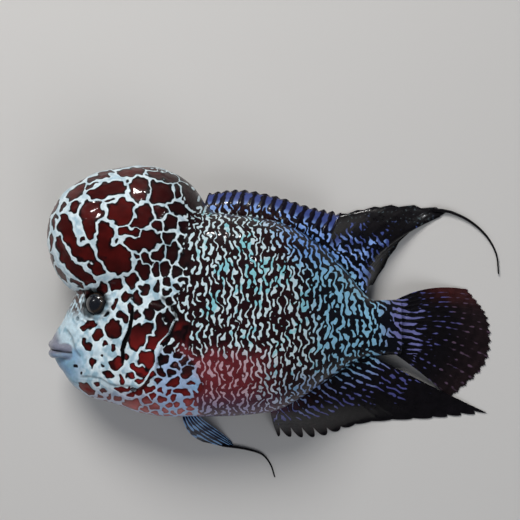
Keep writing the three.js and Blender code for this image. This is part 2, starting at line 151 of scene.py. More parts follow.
def stand(x, y):
    """How far the skin stands out from the middle plane over a point of the side view."""
    middle = widest_at(x)
    reach = np.where(y > middle, back(x) - middle, middle - belly(x))
    share = np.minimum(1, np.abs(y - middle) / reach)
    return half_width(x) * (1 - share ** flatness(x)) ** (1 / flatness(x))


def from_photo(px, py):
    """Side-view place of a place in the picture, as the camera sees it at the middle plane's height."""
    middle = PHOTO_PIXELS / 2
    return np.stack([np.asarray(px) - middle, middle - np.asarray(py)], axis=-1) * MM_PER_PIXEL


def as_seen(points):
    """Where the camera sees points of the left side. The right side is taken as its mirror image."""
    lift = mid_level(points[:, 0]) + np.abs(points[:, 2] - mid_level(points[:, 0]))
    return points[:, :2] * (VIEW_HEIGHT / (MID_LEVEL + VIEW_HEIGHT - lift))[:, None]


def soft_max(a, b, k):
    h = np.maximum(k - np.abs(a - b), 0) / k
    return np.maximum(a, b) + h * h * k / 4


def to_segments(points, line):
    """Distance from each point to a line of points, and how far along it the nearest place is."""
    best = np.full(len(points), 1e9)
    where = np.zeros(len(points))
    line = np.asarray(line, float)
    for i in range(len(line) - 1):
        a, d = line[i], line[i + 1] - line[i]
        t = np.clip((points - a) @ d / (d @ d), 0, 1)
        gap = np.linalg.norm(points - a - t[:, None] * d, axis=1)
        nearer = gap < best
        best[nearer] = gap[nearer]
        where[nearer] = (i + t[nearer]) / (len(line) - 1)
    return best, where


def ripple(points, size, seed, octaves=2):
    """Smooth seeded noise of about -1 to 1 that changes over about the given size."""
    rng = np.random.default_rng(seed)
    total = np.zeros(len(points))
    for octave in range(octaves):
        for _ in range(9):
            way = rng.normal(size=points.shape[1])
            way /= np.linalg.norm(way)
            speed = 2 * np.pi / size * 2**octave * rng.uniform(0.6, 1.4)
            total += np.sin(points @ way * speed + rng.uniform(0, 6.28)) / 3 / 1.8**octave
    return total


# The fish's form as a field: positive inside, about the distance to the skin in millimetres
def eye_centre():
    x, y = EYE["x"], EYE["y"]
    step = 1.0
    slope_x = (stand(x + step, y) - stand(x - step, y)) / (2 * step)
    slope_y = (stand(x, y + step) - stand(x, y - step)) / (2 * step)
    normal = np.array([-slope_x, -slope_y, 1.0])
    normal /= np.linalg.norm(normal)
    skin = np.array([x, y, float(stand(x, y))])
    return skin - normal * EYE["radius"] * EYE["sunk"], normal


EYE_CENTRE, EYE_AXIS = eye_centre()
NOSE = np.array([NOSTRIL["x"], NOSTRIL["y"], float(stand(NOSTRIL["x"], NOSTRIL["y"]))])


def lip_line(drop):
    wide = half_width(MOUTH_CORNER[0]) * 0.93
    corner = (MOUTH_CORNER[0] + 0.6, MOUTH_CORNER[1] + drop * 0.55)
    front = (SNOUT_X + 0.9, MOUTH_FRONT_Y + drop)
    t = np.linspace(0, 1, 9)
    along = 1 - np.sqrt(1 - 0.98 * t * t)
    x, y = mix(front[0], corner[0], along), mix(front[1], corner[1], along)
    return np.stack([x, y, wide * np.sin(t * np.pi / 2)], axis=1)


def head_features(d, x, y, side):
    """Lips, eye sockets, orbits and nostrils, worked out alike for both sides."""
    points = np.stack([x, y, np.abs(side)], axis=1)
    for drop in (LIP_DROP, -LIP_DROP):
        gap, along = to_segments(points, lip_line(drop))
        d = soft_max(d, LIP * (1 - 0.38 * along) - gap, 0.7)
    off = points - EYE_CENTRE
    up = off @ EYE_AXIS
    out = np.sqrt(np.maximum((off * off).sum(1) - up * up, 0))
    ring = np.hypot(out - EYE["radius"] * EYE_RING["out"], up - EYE["radius"] * EYE_RING["up"])
    d = soft_max(d, EYE_RING["thick"] - ring, 1.2)
    socket = np.linalg.norm(off, axis=1) - EYE["radius"] * 0.985
    d = -soft_max(-d, -socket, 0.35)
    nose = np.linalg.norm(points - NOSE - [0, 0, 0.1], axis=1)
    d = soft_max(d, NOSTRIL["rim"] - nose, 0.8)
    return -soft_max(-d, NOSTRIL["radius"] - nose + 0.2, 0.4)


def hump_share(x, y):
    """How far out places are in the hump's outline from the side, 1 on it."""
    dx, dy = x - HUMP["x"], y - HUMP["y"]
    c, s = np.cos(HUMP["tilt"]), np.sin(HUMP["tilt"])
    u = np.abs(dx * c + dy * s) / HUMP["long"]
    v = np.abs(dy * c - dx * s) / HUMP["high"]
    return (u ** HUMP["power"] + v ** HUMP["power"]) ** (1 / HUMP["power"])


def form(x, y, z):
    """The whole fleshy form, for arrays of coordinates."""
    side = z - mid_level(x)
    middle, wide, q = widest_at(x), half_width(x), flatness(x)
    reach = np.where(y > middle, back(x) - middle, middle - belly(x))
    a = np.abs(side) / wide
    b = np.abs(y - middle) / reach
    g = 1 - a**q - b**q
    steep = q * np.sqrt((a ** (q - 1) / wide) ** 2 + (b ** (q - 1) / reach) ** 2 + 1e-4)
    body = np.clip(g / steep, -30, 8)
    body = np.minimum(body, np.minimum(x - SNOUT_X + 0.15, STEM_END_X + 1.2 - x))
    dx, dy, dz = x - HUMP["x"], y - HUMP["y"], z - MID_LEVEL
    away = np.sqrt(hump_share(x, y) ** 2 + (dz / HUMP["wide"]) ** 2) + 1e-6
    hump = np.sqrt(dx * dx + dy * dy + dz * dz) * (1 - away) / away
    blend = 0.9 + 3.0 * smooth(-46, -24, x)
    d = soft_max(body, hump, blend)
    near = (x < -43) & (y < -4)  # eyes, lips and nostrils are all in here
    if near.any():
        d = d.copy()
        d[near] = head_features(d[near], x[near], y[near], side[near])
    return np.minimum(d, z)


def skin_net(xs, ys, zs):
    """Closed quad mesh where the form's field is zero, on a grid with the given lines."""
    grid = np.empty((len(xs), len(ys), len(zs)), np.float32)
    yy, zz = np.meshgrid(ys, zs, indexing="ij")
    for i, x in enumerate(xs):
        grid[i] = form(np.full(yy.size, x), yy.ravel(), zz.ravel()).reshape(yy.shape)
    inside = grid > 0
    count = sum(
        inside[i : i + len(xs) - 1, j : j + len(ys) - 1, k : k + len(zs) - 1].astype(np.int8)
        for i in (0, 1) for j in (0, 1) for k in (0, 1)
    )
    cells = np.argwhere((count > 0) & (count < 8))
    name = np.full(count.shape, -1, np.int64)
    name[tuple(cells.T)] = np.arange(len(cells))
    total = np.zeros((len(cells), 3))
    crossings = np.zeros(len(cells))
    corners = [np.array(c) for c in np.ndindex(2, 2, 2)]
    for a in corners:
        for axis in range(3):
            if a[axis]:
                continue
            b = a.copy()
            b[axis] = 1
            ia, ib = cells + a, cells + b
            fa, fb = grid[tuple(ia.T)], grid[tuple(ib.T)]
            hit = (fa > 0) != (fb > 0)
            t = np.where(hit, fa / np.where(hit, fa - fb, 1), 0)
            pa = np.stack([xs[ia[:, 0]], ys[ia[:, 1]], zs[ia[:, 2]]], axis=1)
            pb = np.stack([xs[ib[:, 0]], ys[ib[:, 1]], zs[ib[:, 2]]], axis=1)
            total += np.where(hit[:, None], mix(pa, pb, t[:, None]), 0)
            crossings += hit
    points = total / crossings[:, None]
    quads = []
    for axis in range(3):
        step = np.eye(3, dtype=int)[axis]
        p, q = np.eye(3, dtype=int)[(axis + 1) % 3], np.eye(3, dtype=int)[(axis + 2) % 3]
        lo = [slice(0, n - 1) if step[k] else slice(1, n - 1) for k, n in enumerate(grid.shape)]
        hi = [slice(1, n) if step[k] else slice(1, n - 1) for k, n in enumerate(grid.shape)]
        a, b = inside[tuple(lo)], inside[tuple(hi)]
        for first, flip in ((a & ~b, False), (~a & b, True)):
            at = np.argwhere(first) + (1 - step)
            ring = [name[tuple((at - m).T)] for m in (p * 0, p, p + q, q)]
            quads.append(np.stack(ring[::-1] if flip else ring, axis=1))
    return points, np.concatenate(quads)


def refine(points, quads, chosen):
    """Splits the chosen quads in four, and adds the new corners to their neighbours' outlines."""
    ends = np.sort(np.stack([quads, np.roll(quads, -1, axis=1)], axis=2), axis=2).reshape(-1, 2)
    edges, which = np.unique(ends[:, 0] * len(points) + ends[:, 1], return_inverse=True)
    which = which.reshape(-1, 4)
    split = np.zeros(len(edges), bool)
    split[which[chosen].ravel()] = True
    first, last = edges[split] // len(points), edges[split] % len(points)
    name = np.full(len(edges), -1)
    name[split] = len(points) + np.arange(split.sum())
    middles = (points[first] + points[last]) / 2
    centres = points[quads[chosen]].mean(axis=1)
    middle = name[which]
    q, m = quads[chosen], middle[chosen]
    centre = len(points) + len(middles) + np.arange(len(q))
    parts = [np.stack([q[:, k], m[:, k], centre, m[:, k - 1]], axis=1) for k in range(4)]
    faces = [np.concatenate(parts)]
    rest, between = quads[~chosen], middle[~chosen]
    kinds = ((between >= 0) * [1, 2, 4, 8]).sum(axis=1)
    for kind in np.unique(kinds):
        at = kinds == kind
        corners = []
        for k in range(4):
            corners.append(rest[at, k])
            if kind >> k & 1:
                corners.append(between[at, k])
        faces.append(np.stack(corners, axis=1))
    return np.concatenate([points, middles, centres]), faces


def slope_of(points, step=0.05):
    rise = [form(*(points + way).T) - form(*(points - way).T) for way in step * np.eye(3)]
    return np.stack(rise, axis=1) / (2 * step)


def onto_skin(points):
    """Moves points onto the form's surface, and gives its outward directions there."""
    for _ in range(2):
        slope = slope_of(points)
        value = form(*points.T)
        size = np.maximum((slope * slope).sum(1), 0.2)
        move = slope * (value / size)[:, None]
        far = np.maximum(np.linalg.norm(move, axis=1, keepdims=True) / 0.25, 1)
        points = points - move / far
    points[:, 2] = np.maximum(points[:, 2], 0)
    slope = slope_of(points)
    return points, -slope / np.maximum(np.linalg.norm(slope, axis=1, keepdims=True), 1e-6)


# Markings. A field is positive in the pale lines and negative in the dark ground, in millimetres or so
def labyrinth(seed, low, high, pitch, wave, lean, order, rounds=12):
    """Wavy broken lines grown from seeded noise over low to high: their grid, the lines, and their breaks.

    wave is the distance between lines, lean the lines' angle from upright and order how strictly
    they keep to it, each as a function of the grid's x and y."""
    xs = np.arange(low[0], high[0], pitch)
    ys = np.arange(low[1], high[1], pitch)
    gx, gy = np.meshgrid(xs, ys, indexing="ij")
    waves, leans, orders = wave(gx, gy), lean(gx, gy), order(gx, gy)
    fx, fy = np.meshgrid(np.fft.fftfreq(len(xs), pitch), np.fft.rfftfreq(len(ys), pitch), indexing="ij")
    speed, way = np.hypot(fx, fy) + 1e-9, np.arctan2(fy, fx)
    bank = []
    for size in np.geomspace(waves.min(), waves.max(), 3):
        band = np.exp(-((speed * size - 1) ** 2) / (2 * 0.22**2))
        share = np.exp(-(np.log(waves / size) ** 2) / (2 * 0.13**2))
        for angle in np.arange(6) * np.pi / 6:
            strict = band * np.abs(np.cos(way - angle)) ** 5
            bank.append((strict, share * np.abs(np.cos(leans - angle)) ** 8 * orders))
        bank.append((band * 0.5, share * (1 - orders)))
    weight = sum(share for _, share in bank)
    rng = np.random.default_rng(seed)
    field = rng.normal(size=gx.shape)
    for _ in range(rounds):
        spread_out = np.fft.rfft2(field)
        parts = (np.fft.irfft2(spread_out * kernel, s=gx.shape) * share for kernel, share in bank)
        made = sum(parts) / weight
        level = made / (made.std() + 1e-9)
        field = np.tanh(1.5 * level)
    noise = np.fft.rfft2(rng.normal(size=gx.shape))
    apart, long = 3.9, 2.4
    rows = np.exp(-((np.abs(fy) * apart - 1) ** 2) / (2 * 0.3**2)) * np.exp(-((fx * long) ** 2) / 2)
    breaks = np.fft.irfft2(noise * rows, s=gx.shape)
    return (xs, ys), np.tanh(level * 0.9), breaks / breaks.std()


def read_grid(axes, values, x, y):
    """Values of a grid between its points."""
    fx = np.clip((x - axes[0][0]) / (axes[0][1] - axes[0][0]), 0, len(axes[0]) - 1.001)
    fy = np.clip((y - axes[1][0]) / (axes[1][1] - axes[1][0]), 0, len(axes[1]) - 1.001)
    i, j = fx.astype(int), fy.astype(int)
    s, t = fx - i, fy - j
    low = mix(values[i, j], values[i + 1, j], s)
    return mix(low, mix(values[i, j + 1], values[i + 1, j + 1], s), t)


def round_the_body(x, y):
    """Height on the skin measured along it from its widest line, so markings aren't stretched."""
    xs = np.arange(-66, 76, 0.5)
    ys = np.arange(-62, 32, 0.25)
    gx, gy = np.meshgrid(xs, ys, indexing="ij")
    inner = np.clip(gy, belly(gx) + 0.05, back(gx) - 0.05)
    out = stand(gx, inner)
    rise = np.diff(inner, axis=1)
    length = np.hypot(rise, np.diff(out, axis=1)) + np.diff(gy, axis=1) - rise
    walk = np.concatenate([np.zeros((len(xs), 1)), np.cumsum(length, axis=1)], axis=1)
    middle = widest_at(xs)
    start = np.array([np.interp(m, ys, row) for m, row in zip(middle, walk)])
    return read_grid((xs, ys), walk - start[:, None] + middle[:, None], x, y)


def scatter(points, spacing, seed):
    """Seeds picked among points so that no two are nearer than their spacing."""
    order = np.random.default_rng(seed).permutation(len(points))
    picked = []
    places = np.empty((0, points.shape[1]))
    for i in order[:TRIES]:
        if len(picked) and ((places - points[i]) ** 2).sum(1).min() < spacing[i] ** 2:
            continue
        picked.append(i)
        places = points[picked]
    return np.array(picked)


def cell_field(points, places, long, wide, lean, group):
    """Distance outside the nearest cell, negative in it, and distance from the wall to the next group."""
    c, s = np.cos(lean), np.sin(lean)
    out = np.empty(len(points))
    wall = np.empty(len(points))
    for start in range(0, len(points), BATCH):
        part = slice(start, start + BATCH)
        off = points[part, None] - places[None]
        along = (off[..., 0] * c + off[..., 1] * s) / long
        across = (off[..., 1] * c - off[..., 0] * s) / wide
        share = np.sqrt(along**2 + across**2 + off[..., 2] ** 2 / (long * wide)) + 1e-6
        gap = np.linalg.norm(off, axis=2) * (1 - 1 / share)
        first = gap.argmin(1)
        out[part] = gap[np.arange(len(gap)), first]
        other = np.where(group[first][:, None] == group[None], 99, gap).min(1)
        wall[part] = (other - out[part]) / 2
    return out, wall


# Meshes and materials
def make_mesh(name, points, faces, **layers):
    """A smooth mesh, with layers of markings stored on its points, ground and pale as colours.

    Faces are an array, or a list of arrays, one for each number of corners."""
    mesh = bpy.data.meshes.new(name)
    groups = faces if isinstance(faces, list) else [faces]
    mesh.vertices.add(len(points))
    mesh.vertices.foreach_set("co", ((points - ORIGIN) * MM).astype(np.float32).ravel())
    corners = np.concatenate([group.ravel() for group in groups])
    sizes = np.concatenate([np.full(len(group), group.shape[1]) for group in groups])
    mesh.loops.add(len(corners))
    mesh.loops.foreach_set("vertex_index", corners.astype(np.int32))
    mesh.polygons.add(len(sizes))
    starts = np.concatenate([[0], np.cumsum(sizes)[:-1]])
    mesh.polygons.foreach_set("loop_start", starts.astype(np.int32))
    mesh.polygons.foreach_set("use_smooth", np.ones(len(sizes), bool))
    mesh.update(calc_edges=True)
    mesh.validate()
    for key, values in layers.items():
        if key in ("ground", "pale"):
            rgba = np.ones((len(points), 4), np.float32)
            rgba[:, :3] = values
            mesh.attributes.new(key, "FLOAT_COLOR", "POINT").data.foreach_set("color", rgba.ravel())
        else:
            values = np.broadcast_to(values, len(points)).astype(np.float32)
            mesh.attributes.new(key, "FLOAT", "POINT").data.foreach_set("value", values)
    piece = bpy.data.objects.new(name, mesh)
    bpy.context.scene.collection.objects.link(piece)
    return piece


class Nodes:
    """Short ways to add shader nodes to a material."""

    def __init__(self, name):
        self.material = bpy.data.materials.new(name)
        self.material.use_nodes = True
        self.tree = self.material.node_tree
        self.shader = self.tree.nodes["Principled BSDF"]

    def add(self, kind, **settings):
        node = self.tree.nodes.new(kind)
        for key, value in settings.items():
            setattr(node, key, value)
        return node

    def link(self, value, socket):
        if isinstance(value, bpy.types.NodeSocket):
            self.tree.links.new(value, socket)
        else:
            socket.default_value = value

    def attribute(self, name, output="Fac"):
        return self.add("ShaderNodeAttribute", attribute_name=name).outputs[output]

    def math(self, kind, *values):
        node = self.add("ShaderNodeMath", operation=kind)
        for value, socket in zip(values, node.inputs):
            self.link(value, socket)
        return node.outputs[0]

    def ramp(self, value, low, high, to_low=0.0, to_high=1.0):
        node = self.add("ShaderNodeMapRange", interpolation_type="SMOOTHSTEP")
        for socket, number in zip(node.inputs, (value, low, high, to_low, to_high)):
            self.link(number, socket)
        return node.outputs[0]

    def mix(self, share, a, b, blend="MIX"):
        node = self.add("ShaderNodeMix", data_type="RGBA", blend_type=blend)
        for value, key in ((share, 0), (a, 6), (b, 7)):
            self.link(value, node.inputs[key])
        return node.outputs[2]

    def noise(self, scale, detail=2.0, rough=0.5):
        place = self.add("ShaderNodeTexCoord").outputs["Object"]
        node = self.add("ShaderNodeTexNoise")
        node.inputs["Scale"].default_value = scale
        node.inputs["Detail"].default_value = detail
        node.inputs["Roughness"].default_value = rough
        self.link(place, node.inputs["Vector"])
        return node.outputs["Fac"]

    def bump(self, height, strength, distance, under=None):
        node = self.add("ShaderNodeBump")
        node.inputs["Strength"].default_value = strength
        node.inputs["Distance"].default_value = distance
        self.link(height, node.inputs["Height"])
        if under is not None:
            self.link(under, node.inputs["Normal"])
        return node.outputs["Normal"]

    def set(self, **values):
        for key, value in values.items():
            self.shader.inputs[key.replace("_", " ")].default_value = value


def wet_skin():
    n = Nodes("wet_skin")
    fine = n.noise(1500, 3, 0.6)
    wobble = n.math("MULTIPLY_ADD", fine, 0.08, -0.04)
    marks = n.math("ADD", n.attribute("marks"), wobble)
    pale = n.ramp(marks, -0.09, 0.13)
    blotch = n.ramp(n.noise(260, 3), 0.25, 0.75, 0.8, 1.2)
    ground = n.mix(1.0, n.attribute("ground", "Color"), blotch, "MULTIPLY")
    speck = n.ramp(n.noise(900, 2), 0.3, 0.7, 0.9, 1.06)
    light = n.mix(1.0, n.attribute("pale", "Color"), speck, "MULTIPLY")
    colour = n.mix(pale, ground, light)
    n.link(n.mix(1.0, colour, n.attribute("shade"), "MULTIPLY"), n.shader.inputs["Base Color"])
    n.link(n.ramp(n.noise(420, 4), 0.3, 0.7, 0.3, 0.46), n.shader.inputs["Roughness"])
    relief = n.bump(n.math("ADD", n.math("MULTIPLY", pale, 0.5), n.noise(2600, 3)), 0.35, 0.0001)
    n.link(n.bump(n.noise(700, 2), 0.25, 0.0002, relief), n.shader.inputs["Normal"])
    n.set(Coat_Weight=0.5, Coat_IOR=1.38, Coat_Roughness=0.06, Specular_IOR_Level=0.12)
    return n.material


def wet_fin(name):
    n = Nodes(name)
    marks = n.math("ADD", n.attribute("marks"), n.math("MULTIPLY_ADD", n.noise(1600, 3, 0.6), 0.3, -0.15))
    pale = n.ramp(marks, -0.12, 0.16)
    blotch = n.ramp(n.noise(500, 3), 0.25, 0.75, 0.65, 1.35)
    ground = n.mix(1.0, n.attribute("ground", "Color"), blotch, "MULTIPLY")
    n.link(n.mix(pale, ground, n.attribute("pale", "Color")), n.shader.inputs["Base Color"])
    n.link(n.ramp(n.noise(600, 3), 0.3, 0.7, 0.26, 0.42), n.shader.inputs["Roughness"])
    n.link(n.bump(n.noise(1800, 3), 0.3, 0.0001), n.shader.inputs["Normal"])
    n.set(Coat_Weight=0.35, Coat_IOR=1.38, Coat_Roughness=0.1, Specular_IOR_Level=0.12)
    n.link(n.attribute("alpha"), n.shader.inputs["Alpha"])
    return n.material


def dress(piece, material, slot, *nodes):
    """Gives a piece its material, and puts it in the place of the solids' nodes."""
    piece.data.materials.append(material)
    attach(piece, "root")
    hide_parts(*nodes)


# Dark cells as the camera sees them: place in the picture, length and width, then the lean in degrees and
# the group of cells that run together, where a cell has them
HUMP_CELLS = (
    (131.5, 171.5, 24, 9, 3), (164, 176, 30, 11, -12), (107, 190.5, 33, 13, 14), (140.5, 190, 19, 23),
    (161, 192.5, 24, 22), (178, 190.5, 10, 14), (192, 196, 29, 15, -65), (111.5, 199.8, 13, 7, 5),
    (120.5, 212, 25, 24), (92, 211, 20, 22, 60, 1), (90, 226, 12, 22, 5, 1), (145, 213, 18, 18, 0, 2),
    (140.5, 223.5, 17, 10, 15, 2), (159.5, 210.8, 15, 13, -30), (176, 208.5, 19, 11, -30),
    (105, 231, 17, 20, 0, 3), (104, 247, 15, 20, 0, 3), (118, 259, 23, 25, 40, 3), (128, 232, 20, 8, -5),
    (157, 226.5, 13, 11, -45), (170.5, 222, 16, 12, 50), (134, 244.5, 18, 12, 0, 4),
    (151, 240, 18, 19, 30, 4), (169.5, 238.7, 12, 11), (65.5, 227, 29, 11, -68, 5),
    (74, 244, 16, 9, -55, 5), (85, 253, 22, 13, -20, 5), (97.5, 268, 13, 12, -30, 5),
    (75, 206.5, 12, 9, 45), (62.5, 251, 26, 9, -68, 6), (78, 271, 30, 10, -38, 6), (136, 256.6, 8, 7),
    (147, 259.5, 12, 9, -50), (159, 253, 16, 12, 60), (172, 252, 21, 12, 70), (185, 258, 18, 11, 60),
    (142.5, 270, 17, 12, -60), (156, 269, 11, 8, 80), (165, 267, 14, 10, 80), (116, 284, 12, 12),
    (131.5, 280, 12, 11), (50.8, 243, 22, 4, 88), (54.5, 222, 18, 5, 74), (62, 208, 13, 5, 62),
    (76, 192, 20, 9, 42), (91, 185.5, 15, 5, 30), (101, 175.5, 26, 6, 26), (153, 168.8, 24, 4, -6),
    (186, 181.5, 16, 9, -42), (199.5, 206, 18, 7, -72), (60, 273.5, 18, 5, -52), (79, 284.5, 16, 4, -30),
    (128, 182, 7, 4), (115.5, 241, 8, 5, 75), (83, 241, 6, 4, 90), (185, 228, 9, 11), (180, 241, 9, 10),
    (189, 243, 8, 10, 70), (176, 271, 9, 12),
)
FACE_CELLS = (
    (88.2, 326, 18, 7, 20), (114, 329, 20, 16, 80), (123.6, 317.4, 14, 11, -25), (98.2, 335, 13, 10, 30),
    (87, 345.2, 13, 8, -42), (104.4, 343.3, 8, 5, 90), (114, 347.6, 9, 7, 80), (92, 362.4, 10, 6, -60),
    (102.5, 357.6, 5, 5), (101.6, 365.3, 6, 4, -30), (116, 363.4, 15, 12, 65), (108.3, 374, 14, 6, -25),
    (121.7, 380.6, 11, 8, -70), (130.3, 376.3, 8, 6), (87.2, 389.2, 19, 9, -32), (103.5, 391.6, 8, 7),
    (97.3, 384, 5, 4), (82, 373.4, 4, 3), (75.3, 366.7, 3, 2), (61, 356.2, 3, 2), (115, 303, 13, 5, 85),
    (106, 313, 10, 6, 20), (126, 297.5, 10, 9, 0, 7), (137, 297.5, 12, 10, 90, 7), (145.6, 288.7, 10, 9),
    (137.6, 315.5, 9, 8), (157, 306, 12, 9, -20, 8), (148.5, 314.6, 12, 9, 80, 8),
    (137.9, 337, 23, 15, 80, 9), (148.6, 329, 14, 9, 80, 9), (160, 324, 20, 8, 85, 10),
    (164, 334, 15, 11, 60, 10), (153, 342.5, 15, 9, 35, 10), (169.5, 316, 14, 8, -70, 10),
    (148, 359.5, 16, 15, -10), (143.7, 371, 22, 8, -20), (141, 380, 12, 5, 20), (123.5, 389.6, 20, 6),
    (127.4, 357.6, 6, 5, 90), (132.3, 404.5, 18, 11), (146.5, 400.7, 9, 8), (161, 389, 8, 6),
    (168.5, 392, 6, 6), (154, 407, 10, 7), (161.8, 399, 6, 6), (173, 383, 13, 9, 30),
    (187, 372, 13, 10, 50), (149, 389, 10, 6, 30),
)

BLACK = linear(8, 5, 8)
MAROON = linear(66, 10, 8)
MAROON_DEEP = linear(32, 8, 10)
RED = linear(116, 26, 24)
PINK = linear(178, 88, 88)
FLANK_DARK = linear(30, 9, 13)
REAR_DARK = linear(8, 9, 18)
MAUVE_DARK = linear(74, 48, 66)
WHITE_BLUE = linear(216, 232, 240)
SKY = linear(150, 192, 214)
JAW_BLUE = linear(126, 164, 198)
FLANK_PALE = linear(200, 220, 228)
TEAL = linear(136, 200, 212)
REAR_BLUE = linear(140, 194, 224)
BACK_BLUE = linear(112, 156, 226)
ROSY_PALE = linear(194, 160, 172)
LILAC_PALE = linear(158, 154, 188)
SLATE = linear(120, 144, 196)
CHEST_BLUE = linear(162, 186, 220)
PATCH_BLUE = linear(150, 190, 230)
ROSY_DARK = linear(108, 34, 42)
SHOULDER_RED = linear(84, 16, 15)
LIP_MAUVE = linear(120, 114, 130)
FIN_BLACK = linear(12, 9, 13)
FIN_BROWN = linear(38, 26, 28)
# Reddish brown of the tail fin's upper part: partly its own colour, partly painted light shining through the
# fin.
FIN_RED_BACKLIT = linear(74, 30, 28)
FIN_NAVY = linear(16, 22, 48)
FIN_BLUE = linear(62, 76, 136)
FIN_LIGHT = linear(134, 168, 232)
FIN_VIOLET = linear(78, 80, 140)
FIN_LILAC = linear(108, 110, 164)
FIN_INDIGO = linear(16, 12, 26)
FIN_GREY = linear(72, 84, 88)
FIN_MAUVE = linear(84, 66, 84)
FIN_SLATE = linear(50, 50, 74)
PELVIC_BLUE = linear(120, 160, 206)
FILM_ROSE = linear(150, 104, 108)
FILM_RAY = linear(104, 62, 58)
BROW_GREY = linear(74, 62, 60)
IRIS_DARK = linear(18, 14, 13)
IRIS_BRONZE = linear(62, 46, 30)
IRIS_EDGE = linear(10, 9, 11)
PUPIL = (0.003, 0.004, 0.008)

# How much larger the cells are drawn than they are listed. The cheek's are those of the face that lie to the
# right of CHEEK_COLUMN in the picture
CELL_GROWTH = {"hump": 1.36, "face": 1.1, "cheek": 1.3}
CHEEK_COLUMN = 130

# Patches as the camera sees them: place in the picture, length and width
TALL_BLOTCH = (251, 272, 11, 40)
SMALL_BLOTCH = (283, 268, 10, 16)
STEM_SPOTS = ((387, 317, 17, 18), (389, 351, 22, 20))
SHOULDER = (182, 332, 15, 20)
CHEST_PATCH = (195, 386, 9, 15)
BROW = (77, 303, 20, 24)

# Grooves and edges of the head, as the camera sees them
PREOPERCLE = from_photo((132.5, 132, 129, 124.5, 122.5, 123, 121), (303, 318, 332, 342, 350, 358, 366))
COVER_EDGE = from_photo(
    (174.5, 169.5, 160, 156, 157, 152.3, 144, 131), (320, 332.7, 342.3, 350, 361.4, 369, 382, 392)
)
COVER_TOP = from_photo((160, 168, 175.5, 176), (296, 302, 311, 320))
LIP_CREASE = from_photo((66, 72, 75, 81), (328, 338, 350, 358))
JAW_CREASE = from_photo((77, 90, 101, 110, 122, 135), (377, 377, 379, 384.5, 387, 386))


def layered(colour, *coats):
    """A colour, or one for each point, with others laid over it in turn, each by its own share."""
    for other, share in coats:
        colour = mix(colour, other, share[:, None])
    return colour


def near_line(seen, line, width):
    """1 on a line, falling to 0 beside it and at its ends."""
    gap, along = to_segments(seen, line)
    return np.exp(-((gap / width) ** 2)) * smooth(0, 0.1, along) * smooth(1, 0.9, along)


def inside_outline(points, outline):
    """Distance inside a closed outline, negative outside it."""
    loop = np.array(list(outline) + [outline[0]], float)
    gap, _ = to_segments(points[:, :2], loop)
    x, y = points[:, 0], points[:, 1]
    odd = np.zeros(len(points), bool)
    for (ax, ay), (bx, by) in zip(loop[:-1], loop[1:]):
        crosses = (ay > y) != (by > y)
        odd ^= crosses & (x < (bx - ax) * (y - ay) / np.where(by == ay, 1e-9, by - ay) + ax)
    return np.where(odd, gap, -gap)


def oval(seen, patch, soft=0.5):
    """About 1 inside an oval patch of the picture and 0 outside it."""
    px, py, long, wide = patch
    off = (seen - from_photo(px, py)) / (np.array([long, wide]) * MM_PER_PIXEL / 2)
    return smooth(1 + soft, 1 - soft, np.linalg.norm(off, axis=1))


# The wavy lines of flank and fins, on one grid of x and height round the body
top_edge = profile([(-44, 20), (-10, 22), (12, 14), (21, 5.6), (29, -4), (STEM_END_X, -10.6)])
low_edge = profile([(-44, -60), (-10, -55), (12, -47.8), (21, -40.5), (29, -34), (STEM_END_X, -30.6)])


def lines_grid():
    """The wavy lines of the whole fish, with their spacing, lean and strictness from place to place."""
    def wave(gx, gy):
        rear = smooth(10, 20, gx) * smooth(-8, 0, gy - low_edge(gx)) * smooth(2, -6, gy - top_edge(gx))
        return 1.8 - 0.12 * smooth(-2, 4, gx) * smooth(14, 8, gx) + 0.3 * rear - 0.4 * smooth(43, 50, gx)

    def lean(gx, gy):
        upper = 0.5 * smooth(-14, 0, gy - top_edge(gx)) * smooth(2, 16, gx)
        lower = 1.15 * smooth(8, -1, gy - low_edge(gx)) * smooth(2, 14, gx)
        tail = 1.5 + 0.022 * (gy + 20)
        share = smooth(38, 45, gx) * smooth(-46, -39, gy) * smooth(4, -4, gy)
        return mix(upper + lower, tail, share)

    def order(gx, gy):
        inner = smooth(0, 6, gy - low_edge(gx)) * smooth(-4, -10, gy - top_edge(gx))
        return 0.6 - 0.34 * smooth(12, 22, gx) * smooth(43, 39, gx) * inner + 0.25 * smooth(42, 48, gx)

    return labyrinth(21, LINES_LOW, LINES_HIGH, LINES_PITCH, wave, lean, order)


def read_lines(x, walk, far=None):
    """The wavy lines' field, positive in the pale ones. far fades it over to other places of the grid."""
    axes, lines, breaks = LINES
    wander = np.stack([x, walk], axis=1)
    at_x = x + 0.5 * ripple(wander, 4.2, 12)

    def field(dx, dy):
        broken = np.maximum(read_grid(axes, breaks, x + dx, walk + dy) - 0.2, 0)
        return read_grid(axes, lines, at_x + dx, walk + dy) - broken * smooth(44, 40, x)

    made = field(0, 0)
    return made if far is None else mix(made, field(6.3, 3.1), far)


